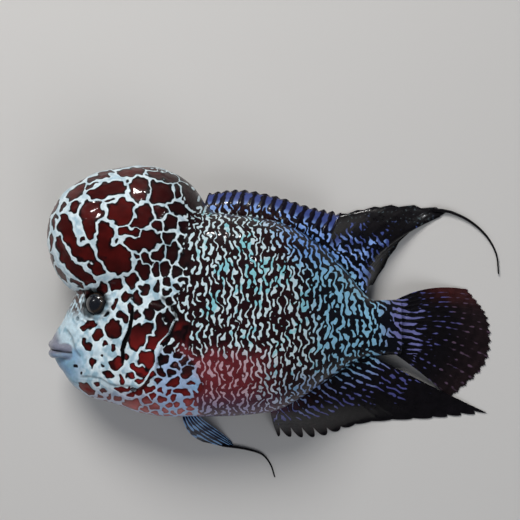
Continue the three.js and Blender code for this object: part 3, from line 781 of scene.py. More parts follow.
def body_lines(seen, made):
    """Width and colours of the wavy lines, alike on the flank and at the roots of the fins."""
    x, y = seen.T
    cloud = ripple(seen, 9, 16, 3)
    row = np.exp(-(((y + 5) / 7) ** 2)) * smooth(-32, -8, x)
    blotch = np.clip(0.75 * cloud - 0.25 + 0.45 * row, 0, 1) * smooth(-26, -12, x)
    blotch = np.maximum(blotch, np.maximum(oval(seen, TALL_BLOTCH), 0.9 * oval(seen, SMALL_BLOTCH)))
    rear = smooth(8, 20, x + 0.2 * y + 2)
    lower = smooth(-25, -31, y)
    bias = -0.25 + 0.46 * blotch * (1 - 0.6 * lower) + 0.2 * rear * (1 - lower)
    bias += 0.1 * ripple(seen, 13, 14)
    dark_spots = np.maximum(*(oval(seen, spot) for spot in STEM_SPOTS))
    marks = made + bias - 1.8 * dark_spots * smooth(-0.7, 0.5, ripple(seen, 5, 35))
    depth = smooth(0.1, 0.75, -marks)
    rosy = smooth(-24.5, -31, y + 1.3 * ripple(seen, 8, 17)) * smooth(10, -8, x)
    ground = layered(
        FLANK_DARK,
        (REAR_DARK, rear),
        (ROSY_DARK, rosy * 0.9),
        (MAUVE_DARK, smooth(-37, -45, y) * smooth(16, 2, x)),
    )
    ground = layered(ground * 0.22, (ground, np.clip(depth + rosy * 0.7, 0, 1)))
    pale = layered(
        FLANK_PALE,
        (TEAL, smooth(0.15, 0.7, blotch)),
        (REAR_BLUE, rear),
        (BACK_BLUE, smooth(-6, 4, y - 0.4 * (20 - x) * smooth(20, 0, x)) * smooth(-4, 14, x)),
        (ROSY_PALE, rosy),
        (SLATE, smooth(-30, -40, y) * smooth(0, 16, x)),
        (LILAC_PALE, smooth(-39, -46, y) * smooth(14, 0, x)),
        (FIN_LILAC, smooth(33, 41, x)),
    )
    return marks * mix(1, 0.7, rosy), ground, pale


def head_cells(seen, side, spacing, network, seed=11):
    """Distance outside the head's dark cells, and from the walls between them.

    The listed cells come first, and seeded ones of the given spacing fill the network between them."""
    points = np.column_stack([seen, np.abs(side) * 0.6])
    warp = 0.35 * np.stack([ripple(points, 3.4, 60 + k) for k in range(2)], axis=1)
    points[:, :2] += warp
    listed = np.array([cell + (0,) * (6 - len(cell)) for cell in HUMP_CELLS + FACE_CELLS])
    places = np.zeros((len(listed), 3))
    places[:, :2] = from_photo(listed[:, 0], listed[:, 1])
    up = side > 0
    for k, place in enumerate(places):
        places[k, 2] = points[up][np.linalg.norm(seen[up] - place[:2], axis=1).argmin(), 2]
    grow = np.where(listed[:, 0] > CHEEK_COLUMN, CELL_GROWTH["cheek"], CELL_GROWTH["face"])
    grow[: len(HUMP_CELLS)] = CELL_GROWTH["hump"]
    long, wide = (listed[:, k] * MM_PER_PIXEL / 2 * grow for k in (2, 3))
    lean, group = np.radians(listed[:, 4]), listed[:, 5].astype(int)
    group = np.where(group == 0, 100 + np.arange(len(group)), group)
    out, _ = cell_field(points, places, long, wide, lean, group)
    free = np.flatnonzero(up & (out > 0.42 * spacing) & network)
    picked = free[scatter(points[free], spacing[free], seed)]
    rng = np.random.default_rng(seed)
    stretch = rng.uniform(0.95, 1.35, len(picked))
    size = spacing[picked] * 0.56 * rng.uniform(0.85, 1.15, len(picked))
    places = np.concatenate([places, points[picked]])
    long, wide = np.concatenate([long, size * stretch]), np.concatenate([wide, size / stretch])
    lean = np.concatenate([lean, rng.uniform(0, np.pi, len(picked))])
    more = 1000 + np.arange(len(picked))
    joined = rng.random(len(picked)) < 0.14
    for k in np.flatnonzero(joined):
        distance = np.linalg.norm(points[picked] - points[picked[k]], axis=1)
        more[k] = more[np.argsort(distance)[1]]
    group = np.concatenate([group, more])
    shift = rng.normal(size=places.shape) * smooth(1.5, 6, places[:, 2])[:, None] * [1.0, 1.0, 0]
    out, wall = np.empty(len(points)), np.empty(len(points))
    for chosen, at in ((up, places), (~up, places + shift)):
        out[chosen], wall[chosen] = cell_field(points[chosen], at, long, wide, lean, group)
    return out, wall


# The skin
def skin_surface():
    """Points, outward directions and faces of the skin, finer on the side that is up."""
    pitch = SKIN_PITCH
    xs, ys, zs = (np.arange(low, high, pitch) for low, high in SKIN_BOX)
    points, quads = skin_net(xs, ys, zs + LEVEL_SHIFT)
    points, normals = onto_skin(points)
    points, faces = refine(points, quads, normals[quads].mean(axis=1)[:, 2] > 0.2)
    return *onto_skin(points), faces


def skin_places(points):
    """Where the skin's points are: as seen, along the skin, and on which part of the fish."""
    x, y = points[:, 0], points[:, 1]
    side = points[:, 2] - mid_level(x)
    half = np.stack([x, y, np.abs(side)], axis=1)
    seen = as_seen(points)
    sx, sy = seen.T
    on_hump = smooth(1.04, 0.96, np.sqrt(hump_share(x, y) ** 2 + (side / HUMP["wide"]) ** 2))
    cover = inside_outline(points, GILL_OUTLINE)
    flank_start = -24.5 + 3.0 * smooth(-18, 0, sy) + 6.5 * smooth(-27, -33, sy)
    on_flank = smooth(-1.6, 1.6, sx - flank_start + 1.1 * ripple(points, 9, 3)) * (1 - on_hump)
    return SimpleNamespace(
        points=points, x=x, y=y, side=side, half=half, seen=seen, sx=sx, sy=sy, walk=round_the_body(x, y),
        on_hump=on_hump, off_hump=1 - on_hump, cover=cover, on_cover=smooth(-0.4, 0.4, cover),
        on_flank=on_flank, off_flank=1 - on_flank, throat=smooth(-37.5, -41.5, sy) * (1 - on_hump),
        from_eye=np.linalg.norm(half - EYE_CENTRE, axis=1),
    )


def skin_cells(at):
    """Field of the pale walls between the head's dark cells, positive in the walls."""
    spacing = mix(6.4, 3.0, smooth(-44, -24, at.sx - 0.25 * (at.sy - 8)))
    spacing = np.where(at.on_hump > 0.5, spacing, 3.0)
    spacing = mix(spacing, 2.3, at.throat)
    spacing = np.where(at.sx > -27, np.minimum(spacing, 2.5), spacing)
    plain_face = (at.sx < -39.2) & (at.sy < -10) & (at.on_hump < 0.5)
    network = ~(plain_face | (at.on_cover > 0.5)) | (at.throat > 0.5)
    on_head = at.on_flank < 0.999
    out, wall = np.full(len(at.x), 9.0), np.full(len(at.x), 9.0)
    out[on_head], wall[on_head] = head_cells(*(v[on_head] for v in (at.seen, at.side, spacing, network)))
    line = mix(0.26, 0.5, smooth(-24, -50, at.sx)) + 0.09 * ripple(at.points, 6, 8)
    return np.clip(soft_max(out, line - wall, 0.45), -1.6, 1.6)


def skin_colours(at, cells):
    """Marks, ground and pale colours of the whole skin."""
    points, seen, sx, sy = at.points, at.seen, at.sx, at.sy
    made = read_lines(at.x, at.walk, smooth(1.0, 5.0, -at.side))
    flank_marks, flank_ground, flank_pale = body_lines(seen, made)
    marks = mix(cells, flank_marks, at.on_flank)

    shoulder = oval(seen, SHOULDER) * (at.cover < 0) * (sx < -19)
    patch = oval(seen, CHEST_PATCH)

    uneven = 0.8 + 0.5 * smooth(-1, 1, ripple(points, 8, 39))
    red = np.clip(0.75 * at.on_cover * smooth(-18, -28, sy) + smooth(-33, -38, sy) * 0.8, 0, 1)
    centre = layered(
        MAROON * uneven[:, None],
        (MAROON_DEEP, smooth(-46, -24, sx - 0.25 * sy)),
        (RED, red * at.off_hump),
        (PINK, smooth(-40, -45, sy) * at.off_hump),
    )
    ground = layered(
        BLACK,
        (centre * 0.6, smooth(-34, -42, sy) * at.off_hump),
        (centre, smooth(0.12, 0.85, -cells)),
        (flank_ground, at.on_flank),
        (SHOULDER_RED, shoulder * smooth(-0.9, 0.6, ripple(points, 4, 33))),
    )
    pale = layered(
        WHITE_BLUE,
        (SKY, smooth(0.55, 1.3, cells) * (0.85 * at.on_hump + 0.35 * at.off_hump)),
        (JAW_BLUE, smooth(-50, -58, sx - 0.2 * (sy + 33)) * smooth(-25.5, -27.5, sy)),
        # Darker blue blotches on the face: partly its uneven tone, partly painted shade standing in for the
        # shading of its wrinkles.
        (SKY * 0.8, 0.75 * smooth(-0.1, 1.0, ripple(points, 3.2, 36)) * at.off_hump),
        (LILAC_PALE, at.throat * 0.6),
        (CHEST_BLUE, smooth(-34, -29, sx) * smooth(-25, -30, sy)),
        (flank_pale, at.on_flank),
        (PATCH_BLUE, patch),
    )
    return marks - 1.6 * shoulder + 0.35 * patch, ground, pale


def face_marks(at, marks, pale):
    """Adds lips, brow and nostrils, darkens the skin about the eye, and paints shade into the nostril pits
    and the line of the mouth.
    """
    lips = [smooth(1.9, 1.2, to_segments(at.half, lip_line(drop))[0]) for drop in (LIP_DROP, -LIP_DROP)]
    snout = smooth(-57.8, -60.5, at.sx + 0.3 * (at.sy + 27))
    snout = snout * smooth(-29.5, -27.5, at.sy) * smooth(-19, -22, at.sy)
    mauve = np.clip(np.maximum(np.maximum(lips[0], snout), 0.6 * lips[1]), 0, 1)
    marks = mix(marks, np.maximum(marks, 0.8), np.maximum(lips[0], lips[1]))
    brow = oval(at.seen, BROW, 0.6) * at.off_hump
    mottle = ripple(at.points, 2.2, 34)
    brow_grey = BROW_GREY * (1 + 0.5 * mottle)[:, None]
    pale = layered(pale, (LIP_MAUVE, mauve * 0.85), (brow_grey, brow * smooth(-0.8, 0.1, mottle)))
    marks = mix(marks, np.maximum(marks, 0.5), brow)
    shade = 1 - 0.88 * smooth(6.0, 4.5, at.from_eye + 0.45 * ripple(at.points, 3, 37))
    # Painted shade in the nostril pits.
    shade *= 1 - 0.85 * smooth(1.0, 0.5, np.linalg.norm(at.half - NOSE, axis=1))
    # Painted shade along the slit of the mouth, between the lips.
    mouth_y = mix(MOUTH_FRONT_Y, MOUTH_CORNER[1], smooth(SNOUT_X, MOUTH_CORNER[0], at.x))
    shade *= 1 - 0.8 * smooth(0.5, 0.15, np.abs(at.y - mouth_y)) * (at.x < MOUTH_CORNER[0] + 0.8)
    return marks, pale, shade


def gill_marks(at, marks, shade):
    """Raises the gill cover, and adds its edge, its front groove and the creases of the jaws, with painted
    shade in the grooves and creases.
    """
    seen = at.seen
    relief = 0.75 * smooth(-44, -29, at.x) * at.on_cover * smooth(-0.3, 0.35, at.cover)
    behind = (at.cover < 0) & (at.sx > -42)
    gap, along = to_segments(seen, COVER_EDGE)
    gap = gap + 2 * (along <= 0) + 2 * (along >= 1)
    relief -= 0.45 * np.exp(-((gap / 0.8) ** 2)) * behind
    # Painted shade in the groove behind the cover's rear edge.
    shade = shade * (1 - 0.9 * smooth(1.3, 0.2, gap) * behind)
    band = smooth(0.3, 0.5, gap) * smooth(1.9, 1.3, gap + 0.3 * ripple(at.points, 3, 41))
    marks = mix(marks, np.minimum(marks, -0.7), band * smooth(-0.2, 0.2, ripple(at.points, 4, 42) + 0.3))
    marks = mix(marks, np.maximum(marks, 0.6), smooth(0.36, 0.14, gap))
    relief -= 0.5 * near_line(seen, PREOPERCLE, 0.7)
    groove = near_line(seen, PREOPERCLE, 0.38 + 0.3 * np.exp(-(((at.sy + 24) / 5) ** 2)))
    # Painted shade: the front groove is drawn dark in the marks and darkened again in the shade layer.
    marks = mix(marks, -1.2, smooth(0.15, 0.5, groove))
    shade *= 1 - 0.88 * smooth(0.05, 0.9, groove)
    top = near_line(seen, COVER_TOP, 0.8)
    creases = near_line(seen, LIP_CREASE, 0.4) + near_line(seen, JAW_CREASE, 0.4)
    relief -= 0.3 * top + 0.3 * creases
    # Painted shade along the top of the cover and in the creases of lips and jaw.
    shade *= (1 - 0.9 * top) * (1 - 0.45 * creases)
    return relief, marks, shade


def fine_relief(at, marks):
    """Scales on the flank, and low waves, folds about the eye and cell walls on the head."""
    column = np.floor(at.x / SCALE["long"])
    fx = at.x / SCALE["long"] - column - 0.5
    fy = (at.walk / SCALE["high"] + 0.5 * (column % 2)) % 1 - 0.5
    relief = SCALE["rise"] * np.clip(1 - (fx * 1.3 + 2.4 * fy * fy) ** 2, 0, 1) * at.on_flank
    waves = 0.1 * ripple(at.points, 7, 30) * at.off_hump * at.off_flank
    relief += waves * smooth(5.6, 7.4, at.from_eye)
    folds = np.sin(2.2 * at.from_eye + 1.4 * ripple(at.points, 3, 38))
    relief += 0.2 * folds * smooth(4.9, 5.5, at.from_eye) * smooth(10, 6.5, at.from_eye) * at.off_hump
    return relief + 0.08 * marks * at.off_flank


def make_skin():
    points, normals, faces = skin_surface()
    at = skin_places(points)
    marks, ground, pale = skin_colours(at, skin_cells(at))
    marks, pale, shade = face_marks(at, marks, pale)
    relief, marks, shade = gill_marks(at, marks, shade)
    relief += fine_relief(at, marks)
    points = points + normals * (relief * smooth(0, 1.2, points[:, 2]))[:, None]
    points[:, 2] = np.maximum(points[:, 2], 0)
    shade = np.clip(shade, 0.03, 1)
    skin = make_mesh("skin", points, faces, ground=ground, pale=pale, marks=marks, shade=shade)
    dress(
        skin, wet_skin(), "flank_skin",
        "hump", "head", "lower_jaw", "torso", "tail_stem", "gill_cover_left", "gill_cover_right",
    )


# Eyes
def make_eye(name, side):
    """The ball of one eye, on the left side where side is 1 and on the right where it is -1."""
    radius = EYE["radius"]
    rings, around = 48, 96
    shown = 2.0  # radians from the front of the ball to its edge, which is in the socket
    polar = np.linspace(0, shown, rings + 1)[1:]
    turn = np.linspace(0, 2 * np.pi, around, endpoint=False)
    axis = EYE_AXIS * [1, 1, side]
    centre = EYE_CENTRE * [1, 1, side] + [0, 0, MID_LEVEL]
    east = np.cross([0, 1, 0], axis)
    east /= np.linalg.norm(east)
    north = np.cross(axis, east)
    pg, tg = np.meshgrid(polar, turn, indexing="ij")
    bulge = radius * (1 + 0.05 * smooth(0.9, 0, pg))
    local = np.stack([np.sin(pg) * np.cos(tg), np.sin(pg) * np.sin(tg), np.cos(pg)], axis=-1)
    local *= bulge[..., None]
    points = centre + local[..., :1] * east + local[..., 1:2] * north + local[..., 2:] * axis
    tip, bottom = centre + axis * radius * 1.05, centre - axis * radius * 0.4
    points = np.concatenate([[tip], points.reshape(-1, 3), [bottom]])
    index = np.arange(rings * around).reshape(rings, around) + 1
    nxt = np.roll(index, -1, axis=1)
    quads = np.stack([index[:-1], index[1:], nxt[1:], nxt[:-1]], axis=-1).reshape(-1, 4)
    if side < 0:
        quads = quads[:, ::-1]
    piece = make_mesh(name, points, quads, polar=np.concatenate([[0], pg.ravel(), [3]]))
    dress(piece, eye_glass(), "eye", name)


def eye_glass():
    n = Nodes("wet_eye")
    polar = n.attribute("polar")
    streak = n.noise(1400, 4, 0.7)
    bronze = n.mix(streak, (*IRIS_DARK, 1), (*IRIS_BRONZE, 1))
    edge = n.math("ADD", polar, n.math("MULTIPLY_ADD", streak, 0.12, -0.06))
    iris = n.mix(n.ramp(edge, 0.72, 0.84), bronze, (*IRIS_EDGE, 1))
    colour = n.mix(n.ramp(edge, 0.6, 0.7), (*PUPIL, 1), iris)
    n.link(colour, n.shader.inputs["Base Color"])
    n.set(Roughness=0.25, Coat_Weight=1.0, Coat_Roughness=0.02)
    return n.material


# Fins, and the middle lines of their threads
FILAMENT = (
    (54, 15.7, 1.3), (59.2, 14.9, 1), (65.4, 12, 0.8), (70.6, 7.3, 0.7), (73.6, 1.7, 0.6),
    (74.3, -4.4, 0.6),
)
PELVIC_THREAD = (
    (-11.8, -57.7, 0.7), (-4.1, -58.9, 0.55), (0.8, -60.6, 0.5), (3.3, -63.7, 0.45), (4.6, -67.6, 0.4),
)


def line(points):
    """Curve through points, even in its parameter from one to the next."""
    p = np.array([tuple(q) + (0.0,) * (3 - len(q)) for q in points], float)
    p = np.vstack([2 * p[0] - p[1], p, 2 * p[-1] - p[-2]])

    def curve(t):
        s = np.clip(np.asarray(t, float), 0, 1) * (len(p) - 3)
        i = np.minimum(s.astype(int), len(p) - 4)
        w = (s - i)[..., None]
        p0, p1, p2, p3 = p[i], p[i + 1], p[i + 2], p[i + 3]
        pairs = ((p0, p1), (p1, p2), (p2, p3))
        d0, d1, d2 = (((b - a) ** 2).sum(-1, keepdims=True) ** 0.25 for a, b in pairs)
        m1 = ((p1 - p0) / d0 - (p2 - p0) / (d0 + d1) + (p2 - p1) / d1) * d1
        m2 = ((p2 - p1) / d1 - (p3 - p1) / (d1 + d2) + (p3 - p2) / d2) * d1
        bend, turn = 3 * p2 - 3 * p1 - 2 * m1 - m2, 2 * p1 - 2 * p2 + m1 + m2
        return p1 + m1 * w + bend * w**2 + turn * w**3

    return curve


def spread(root, middle, edge, low, fall=1.0):
    """Places on a fin whose rays leave root, bend over middle and end on edge."""
    start, over, end = line(root), line(middle), line(edge)

    def place(u, v):
        a, b, c = start(v), over(v), end(v)
        r = u[..., None]
        flat = (1 - r) ** 2 * a + 2 * r * (1 - r) * b + r * r * c
        flat[..., 2] = mix(mid_level(a[..., 0]), low, smooth(0, 1, u * fall))
        return flat

    return place


def fin_mesh(place, trim, rays, steps, fine, thick, ridge):
    """Closed sheet with raised rays: points, faces, and each point's u, v and distance from a ray.

    trim(u, v, between) gives how far the length is drawn in."""
    v = np.linspace(0, 1, (rays - 1) * fine + 1)
    u = np.linspace(0, 1, steps + 1)
    vg, ug = np.meshgrid(v, u, indexing="ij")
    between = np.abs(((vg * (rays - 1) + 0.5) % 1) - 0.5) * 2
    ug = ug * (1 - trim(ug, vg, between) * ug**3)
    middle = place(ug, vg)
    half = thick / 2 * mix(1, 0.5, ug) + ridge * np.exp(-((between / 0.28) ** 2)) * mix(1, 0.35, ug)
    low = np.maximum(middle[..., 2], half + FLOOR_GAP)
    top, under = middle.copy(), middle.copy()
    top[..., 2] = low + half
    under[..., 2] = low - half
    points = np.concatenate([top.reshape(-1, 3), under.reshape(-1, 3)])
    nv, nu = vg.shape
    index = np.arange(nv * nu).reshape(nv, nu)
    corners = (index[:-1, :-1], index[1:, :-1], index[1:, 1:], index[:-1, 1:])
    quads = [np.stack(corners, axis=-1).reshape(-1, 4)]
    quads.append(quads[0][:, ::-1] + nv * nu)
    border = np.concatenate([index[:, 0], index[-1, 1:], index[-2::-1, -1], index[0, -2:0:-1]])
    after = np.roll(border, -1)
    quads.append(np.stack([after, border, border + nv * nu, after + nv * nu], axis=1))
    faces = np.concatenate(quads)
    a, b, c = (top.reshape(-1, 3)[quads[0][:, k]] for k in range(3))
    if np.cross(b - a, c - a)[:, 2].sum() < 0:
        faces = faces[:, ::-1]
    return points, faces, *(np.tile(g.ravel(), 2) for g in (ug, vg, between))


def untrimmed(_u, _v, between):
    return 0 * between


def shade_fin(name, node, shape, marks, ground, pale, alpha, slot="dark_fin"):
    piece = make_mesh(name, *shape, ground=ground, pale=pale, marks=marks, alpha=alpha)
    dress(piece, wet_fin(name + "_film"), slot, node)


def fin_lines(points):
    """The flank's wavy lines carried on over a fin: marks, ground and pale colours."""
    walk = round_the_body(points[:, 0], points[:, 1])
    return body_lines(as_seen(points), read_lines(points[:, 0], walk))


def along_back(xs):
    """Places just inside the line of the back, where a fin is rooted."""
    return [(x, float(back(x)) - 0.9) for x in xs]


def along_belly(xs):
    return [(x, float(belly(x)) + 0.9) for x in xs]


def dorsal_spiny():
    place = spread(
        along_back([-17, -8, 2, 11, 19.6]),
        [(-17, 17), (-8, 17.5), (3.4, 16.2), (14, 12.6), (22.2, 8.8)],
        [(-15.4, 20.4), (-6, 21.4), (5, 19.4), (15.4, 16.2), (24.8, 14.4)],
        low=9, fall=0.55,
    )
    points, faces, u, _, between = fin_mesh(
        place, lambda u, v, b: 0.1 * b**1.5, rays=15, steps=40, fine=12, thick=0.5, ridge=0.22
    )
    marks, ground, pale = fin_lines(points)
    lobe = smooth(0.25, 0.6, between + 0.7 * (u - 0.8) + 0.12 * ripple(points, 3, 51))
    upper = smooth(0.34, 0.5, u)
    marks = mix(marks - 0.2, (lobe - 0.5) * 0.36 - 0.5 * smooth(0.86, 1.0, u), upper)
    ground = layered(ground, (FIN_INDIGO, upper), (FIN_BROWN, smooth(0.82, 1, u) * between))
    pale = layered(
        pale,
        (FIN_LIGHT, smooth(0.1, 0.3, u)),
        (FIN_BLUE, smooth(0.38, 0.66, u)),
        (FIN_BROWN * 1.6, 0.7 * smooth(0.8, 1, u)),
    )
    alpha = 1 - 0.75 * smooth(0.78, 1, u) * between
    shade_fin("fin_back_spines", "dorsal_fin_spiny", (points, faces), marks, ground, pale, alpha)


def dorsal_soft():
    place = spread(
        along_back([19.2, 23.6, 27, 30, 32.6]),
        [(22.2, 8.8), (31.2, 10.8), (38, 7.2), (34.9, 1.6), (32.8, -7.5)],
        [(24.9, 14.5), (41, 17.2), (58.5, 15.2), (46.3, 8.3), (35.2, -7.8)],
        low=0.3,
    )
    points, faces, u, _, between = fin_mesh(
        place, lambda u, v, b: 0.05 * b, rays=13, steps=110, fine=14, thick=0.4, ridge=0.12
    )
    marks, ground, pale = fin_lines(points)
    fade = u + 0.12 * ripple(points, 5, 54)
    flecks = smooth(0.7, 1.2, ripple(points, 1.6, 53)) * smooth(0.5, 0.7, u)
    marks = np.maximum(marks - 0.2 - 1.3 * smooth(0.36, 0.7, fade), 0.5 * flecks - 0.4)
    ground = layered(ground, (FIN_BLACK, smooth(0.3, 0.6, u)))
    pale = layered(
        pale,
        (FIN_LIGHT, smooth(0.02, 0.12, u)),
        (FIN_BLUE, smooth(0.12, 0.4, fade)),
        (FIN_GREY, smooth(0.5, 0.75, fade)),
    )
    alpha = 1 - 0.1 * smooth(0.9, 1, u) * between
    shade_fin("fin_back_lobe", "dorsal_fin_soft", (points, faces), marks, ground, pale, alpha)


def tube(points, radius, sides=10):
    """A round thread along a curve, with its radius given over its length."""
    curve = line(points)
    t = np.linspace(0, 1, 12 * len(points))
    centre = curve(t)
    along = np.gradient(centre, axis=0)
    along /= np.linalg.norm(along, axis=1, keepdims=True)
    aside = np.cross(along, [0, 0, 1.0])
    aside /= np.linalg.norm(aside, axis=1, keepdims=True)
    lift = np.cross(aside, along)
    turn = np.linspace(0, 2 * np.pi, sides, endpoint=False)
    r = radius(t)[:, None, None]
    c, s = np.cos(turn)[None, :, None], np.sin(turn)[None, :, None]
    ring = centre[:, None] + r * (c * aside[:, None] + s * lift[:, None])
    index = np.arange(len(t) * sides).reshape(len(t), sides)
    nxt = np.roll(index, -1, axis=1)
    quads = np.stack([index[:-1], nxt[:-1], nxt[1:], index[1:]], axis=-1).reshape(-1, 4)
    return ring.reshape(-1, 3), quads


def thread(name, node, points, start, end):
    """A black thread that thins from one radius to another."""
    shape = tube(points, lambda t: mix(start, end, t))
    shade_fin(name, node, shape, marks=-1, ground=FIN_BLACK, pale=FIN_BLACK, alpha=1)


def caudal():
    place = spread(
        [(STEM_END_X - 1, -12.6), (STEM_END_X - 1, -20.6), (STEM_END_X - 1, -28.6)],
        [(51.6, -6.8), (57.8, -18.6), (52, -36.1)],
        [(64.8, -9.2), (71.2, -18.7), (70.6, -31.8), (59.4, -43.2)],
        low=0.2,
    )
    points, faces, u, v, between = fin_mesh(
        place, lambda u, v, b: 0.03 * b + 0.008 * np.sin(v * 400),
        rays=17, steps=120, fine=12, thick=0.4, ridge=0.14,
    )
    marks, ground, pale = fin_lines(points)
    fade = u + 0.09 * ripple(points, 6, 56)
    # Pale dashes along the rays: partly the rays' lighter colour, partly painted highlights along them.
    ray = smooth(0.5, 0.1, between) * smooth(0.1, 0.3, u) * (0.5 + 0.5 * ripple(points, 3, 59))
    marks = np.maximum(marks - 0.15 - 1.2 * smooth(0.05, 0.5, fade), 0.5 * ray - 0.38)
    ground = layered(
        ground,
        (FIN_BLACK, smooth(0.05, 0.3, u)),
        # The upper lobe's reddish brown: partly the fin's own colour, partly painted light shining through
        # its film.
        (FIN_RED_BACKLIT, smooth(0.3, 0.0, v) * smooth(0.3, 0.8, u) * 0.8),
        (FIN_BROWN, smooth(0.5, 0.95, u) * 0.5),
    )
    pale = layered(
        pale,
        (FIN_LILAC, smooth(0.0, 0.1, u)),
        (FIN_VIOLET, smooth(0.15, 0.4, fade)),
        (FIN_MAUVE, smooth(0.4, 0.7, fade)),
    )
    alpha = 1 - 0.35 * smooth(0.93, 1, u) * between
    shade_fin("fin_tail", "caudal_fin", (points, faces), marks, ground, pale, alpha)


def anal():
    place = spread(
        along_belly([3, 12, 21, 28, 33.4]),
        [(3.7, -50.4), (15.5, -50.7), (27.8, -47.8), (39.1, -43.7), (45.9, -35.8)],
        [(5.6, -55), (18.3, -55), (32.2, -50.9), (55, -49.2), (70.6, -47.6)],
        low=0.2,
    )
    points, faces, u, v, between = fin_mesh(
        place, lambda u, v, b: (0.34 * smooth(0.5, 0.15, v) + 0.04) * b**2.5,
        rays=15, steps=110, fine=14, thick=0.45, ridge=0.16,
    )
    marks, ground, pale = fin_lines(points)
    fade = u + 0.1 * ripple(points, 6, 58)
    marks = marks - 0.3 - 1.1 * smooth(0.4, 0.75, fade)
    ground = layered(
        ground,
        (FIN_BLACK, smooth(0.05, 0.35, u)),
        (FIN_BROWN, smooth(0.5, 0.2, v) * smooth(0.35, 0.85, u) * between),
    )
    pale = layered(
        pale,
        (FIN_LILAC, smooth(0.02, 0.2, u) * 0.7),
        (FIN_VIOLET, smooth(0.15, 0.35, fade)),
        (FIN_SLATE, smooth(0.4, 0.7, fade)),
    )
    alpha = 1 - 0.15 * smooth(0.5, 0.2, v) * smooth(0.6, 1, u) * between
    shade_fin("fin_vent", "anal_fin", (points, faces), marks, ground, pale, alpha)


def pectoral(name, node, place):
    """One of the nearly clear fins: a film with faint rays, and denser skin at its root."""
    points, faces, u, _, between = fin_mesh(
        place, lambda u, v, b: 0.05 * b, rays=14, steps=50, fine=6, thick=0.08, ridge=0.05
    )
    rays = 0.07 * np.exp(-((between / 0.25) ** 2)) * smooth(1, 0.3, u)
    alpha = 0.015 + rays + 0.6 * smooth(0.12, 0, u)
    shade_fin(name, node, (points, faces), 0.35 - between, FILM_ROSE, FILM_RAY, alpha, "clear_fin")


pectoral_outline = spread(
    [(-24.4, -24.8), (-24.6, -27.1), (-25.4, -29.4)],
    [(-13.5, -24.6), (-9.6, -33), (-22.5, -36.5)],
    [(-2.9, -25), (6.3, -32.3), (2.9, -40), (-7.7, -43), (-19.6, -42.2)],
    low=0,
)


def over_flank(u, v):
    """Places of the left pectoral fin, which lies over the flank."""
    made = pectoral_outline(u, v)
    x, y = made[..., 0], made[..., 1]
    eased = widest_at(x) + (y - widest_at(x)) * 0.86
    made[..., 2] = mid_level(x) + stand(x, eased) + mix(-0.6, 0.75, np.clip(5 * u, 0, 1))
    return made


def folded_fan(u, v):
    """Places of the right pectoral fin, which is folded under the fish."""
    tip_x, tip_y = mix(-6, -17, v), mix(-35.2, -41, v)
    x, y = mix(-27.6, tip_x, u), mix(mix(-34.8, -37.6, v), tip_y, u)
    return np.stack([x, y, mix(1.6, 0.4, np.clip(3 * u, 0, 1))], axis=-1)


def pelvic_left():
    place = spread(
        along_belly([-23.4, -21.4, -19]),
        [(-22.4, -54.5), (-18.8, -52.6), (-16.7, -49.6)],
        [(-17.6, -56.7), (-8.3, -58.3), (-8.7, -56.7)],
        low=0.3,
    )
    points, faces, u, _, between = fin_mesh(
        place, untrimmed, rays=7, steps=60, fine=10, thick=0.5, ridge=0.35
    )
    marks = 0.3 - between + 0.25 * ripple(points, 5, 59)
    ground = layered(FIN_NAVY, (FIN_BLACK, smooth(0.6, 1, u)))
    shade_fin("fin_pelvic_left", "pelvic_fin_left", (points, faces), marks, ground, PELVIC_BLUE, alpha=1)


def pelvic_right():
    def place(u, v):
        x = mix(-21.6, mix(0, -7, v), u)
        y = mix(mix(-42.6, -44.6, v), mix(-44.4, -46, v), u)
        return np.stack([x, y, mix(4.6, 0.5, smooth(0, 0.5, u))], axis=-1)

    *shape, _, _, between = fin_mesh(place, untrimmed, rays=6, steps=40, fine=8, thick=0.3, ridge=0.15)
    shade_fin("fin_pelvic_right", "pelvic_fin_right", shape, 0.3 - between, FIN_NAVY, PELVIC_BLUE, alpha=1)


# Camera, light and ground
def make_camera():
    camera = bpy.data.cameras.new("camera")
    camera.sensor_width = 36
    camera.lens = 36 * VIEW_HEIGHT / (PHOTO_PIXELS * MM_PER_PIXEL)
    camera.clip_start = 0.01
    holder = bpy.data.objects.new("camera", camera)
    holder.location = Vector((-ORIGIN[0], -ORIGIN[1], MID_LEVEL + VIEW_HEIGHT)) * MM
    bpy.context.scene.collection.objects.link(holder)
    bpy.context.scene.camera = holder


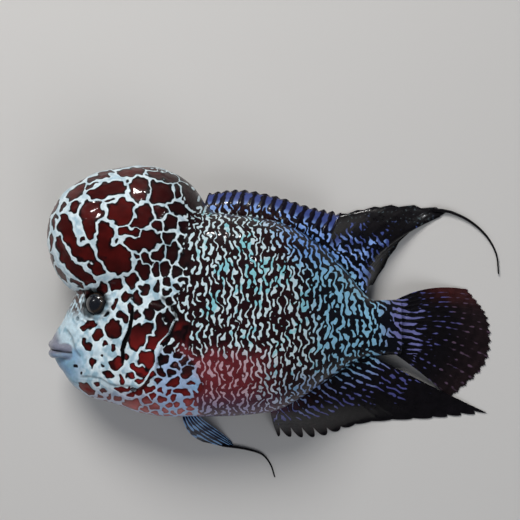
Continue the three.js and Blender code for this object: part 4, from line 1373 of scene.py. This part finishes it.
def make_light(name, place, size, power, colour, glint):
    """A round lamp aimed at the fish. A glint lamp shows in the wet gloss alone, the others never do."""
    lamp = bpy.data.lights.new(name, "AREA")
    lamp.shape = "DISK"
    lamp.size = size
    lamp.energy = power
    lamp.color = colour
    holder = bpy.data.objects.new(name, lamp)
    holder.location = place
    holder.rotation_euler = (-Vector(place)).to_track_quat("-Z", "Y").to_euler()
    holder.visible_glossy = glint
    holder.visible_diffuse = not glint
    bpy.context.scene.collection.objects.link(holder)


def make_stage():
    side = 3.0
    mesh = bpy.data.meshes.new("ground")
    corners = [(-side, -side, 0), (side, -side, 0), (side, side, 0), (-side, side, 0)]
    mesh.from_pydata(corners, [], [(0, 1, 2, 3)])
    ground = bpy.data.objects.new("ground", mesh)
    ground.location.z = -0.0001
    n = Nodes("pale_ground")
    n.set(Base_Color=(0.62, 0.61, 0.6, 1), Roughness=0.7)
    mesh.materials.append(n.material)
    bpy.context.scene.collection.objects.link(ground)
    world = bpy.data.worlds.new("world")
    world.use_nodes = True
    world.node_tree.nodes["Background"].inputs[0].default_value = (0.8, 0.86, 0.95, 1)
    world.node_tree.nodes["Background"].inputs[1].default_value = 0.12
    bpy.context.scene.world = world
    make_light("key", (-0.2, 0.45, 0.5), 0.35, 3.9, (1, 0.98, 0.95), False)
    make_light("fill", (0.2, -0.45, 0.6), 0.6, 1.8, (0.95, 0.97, 1), False)
    make_light("glint_far", (-0.04, 0.68, 0.32), 0.05, 1.1, (1, 0.98, 0.95), True)
    make_light("glint_left", (-0.45, 0.42, 0.45), 0.04, 0.6, (1, 1, 1), True)
    make_light("glint_right", (0.25, 0.4, 0.6), 0.03, 0.35, (0.95, 0.98, 1), True)


# Everything is made here
make_camera()
make_stage()
LINES = lines_grid()
make_skin()
make_eye("eye_left", 1)
make_eye("eye_right", -1)
dorsal_spiny()
dorsal_soft()
thread("fin_back_thread", "dorsal_filament", FILAMENT, 0.55, 0.22)
caudal()
anal()
pectoral("fin_pectoral_left", "pectoral_fin_left", over_flank)
pectoral("fin_pectoral_right", "pectoral_fin_right", folded_fan)
pelvic_left()
thread("fin_pelvic_thread", "pelvic_fin_left", PELVIC_THREAD, 0.42, 0.2)
pelvic_right()

bpy.context.scene.view_settings.view_transform = "Standard"
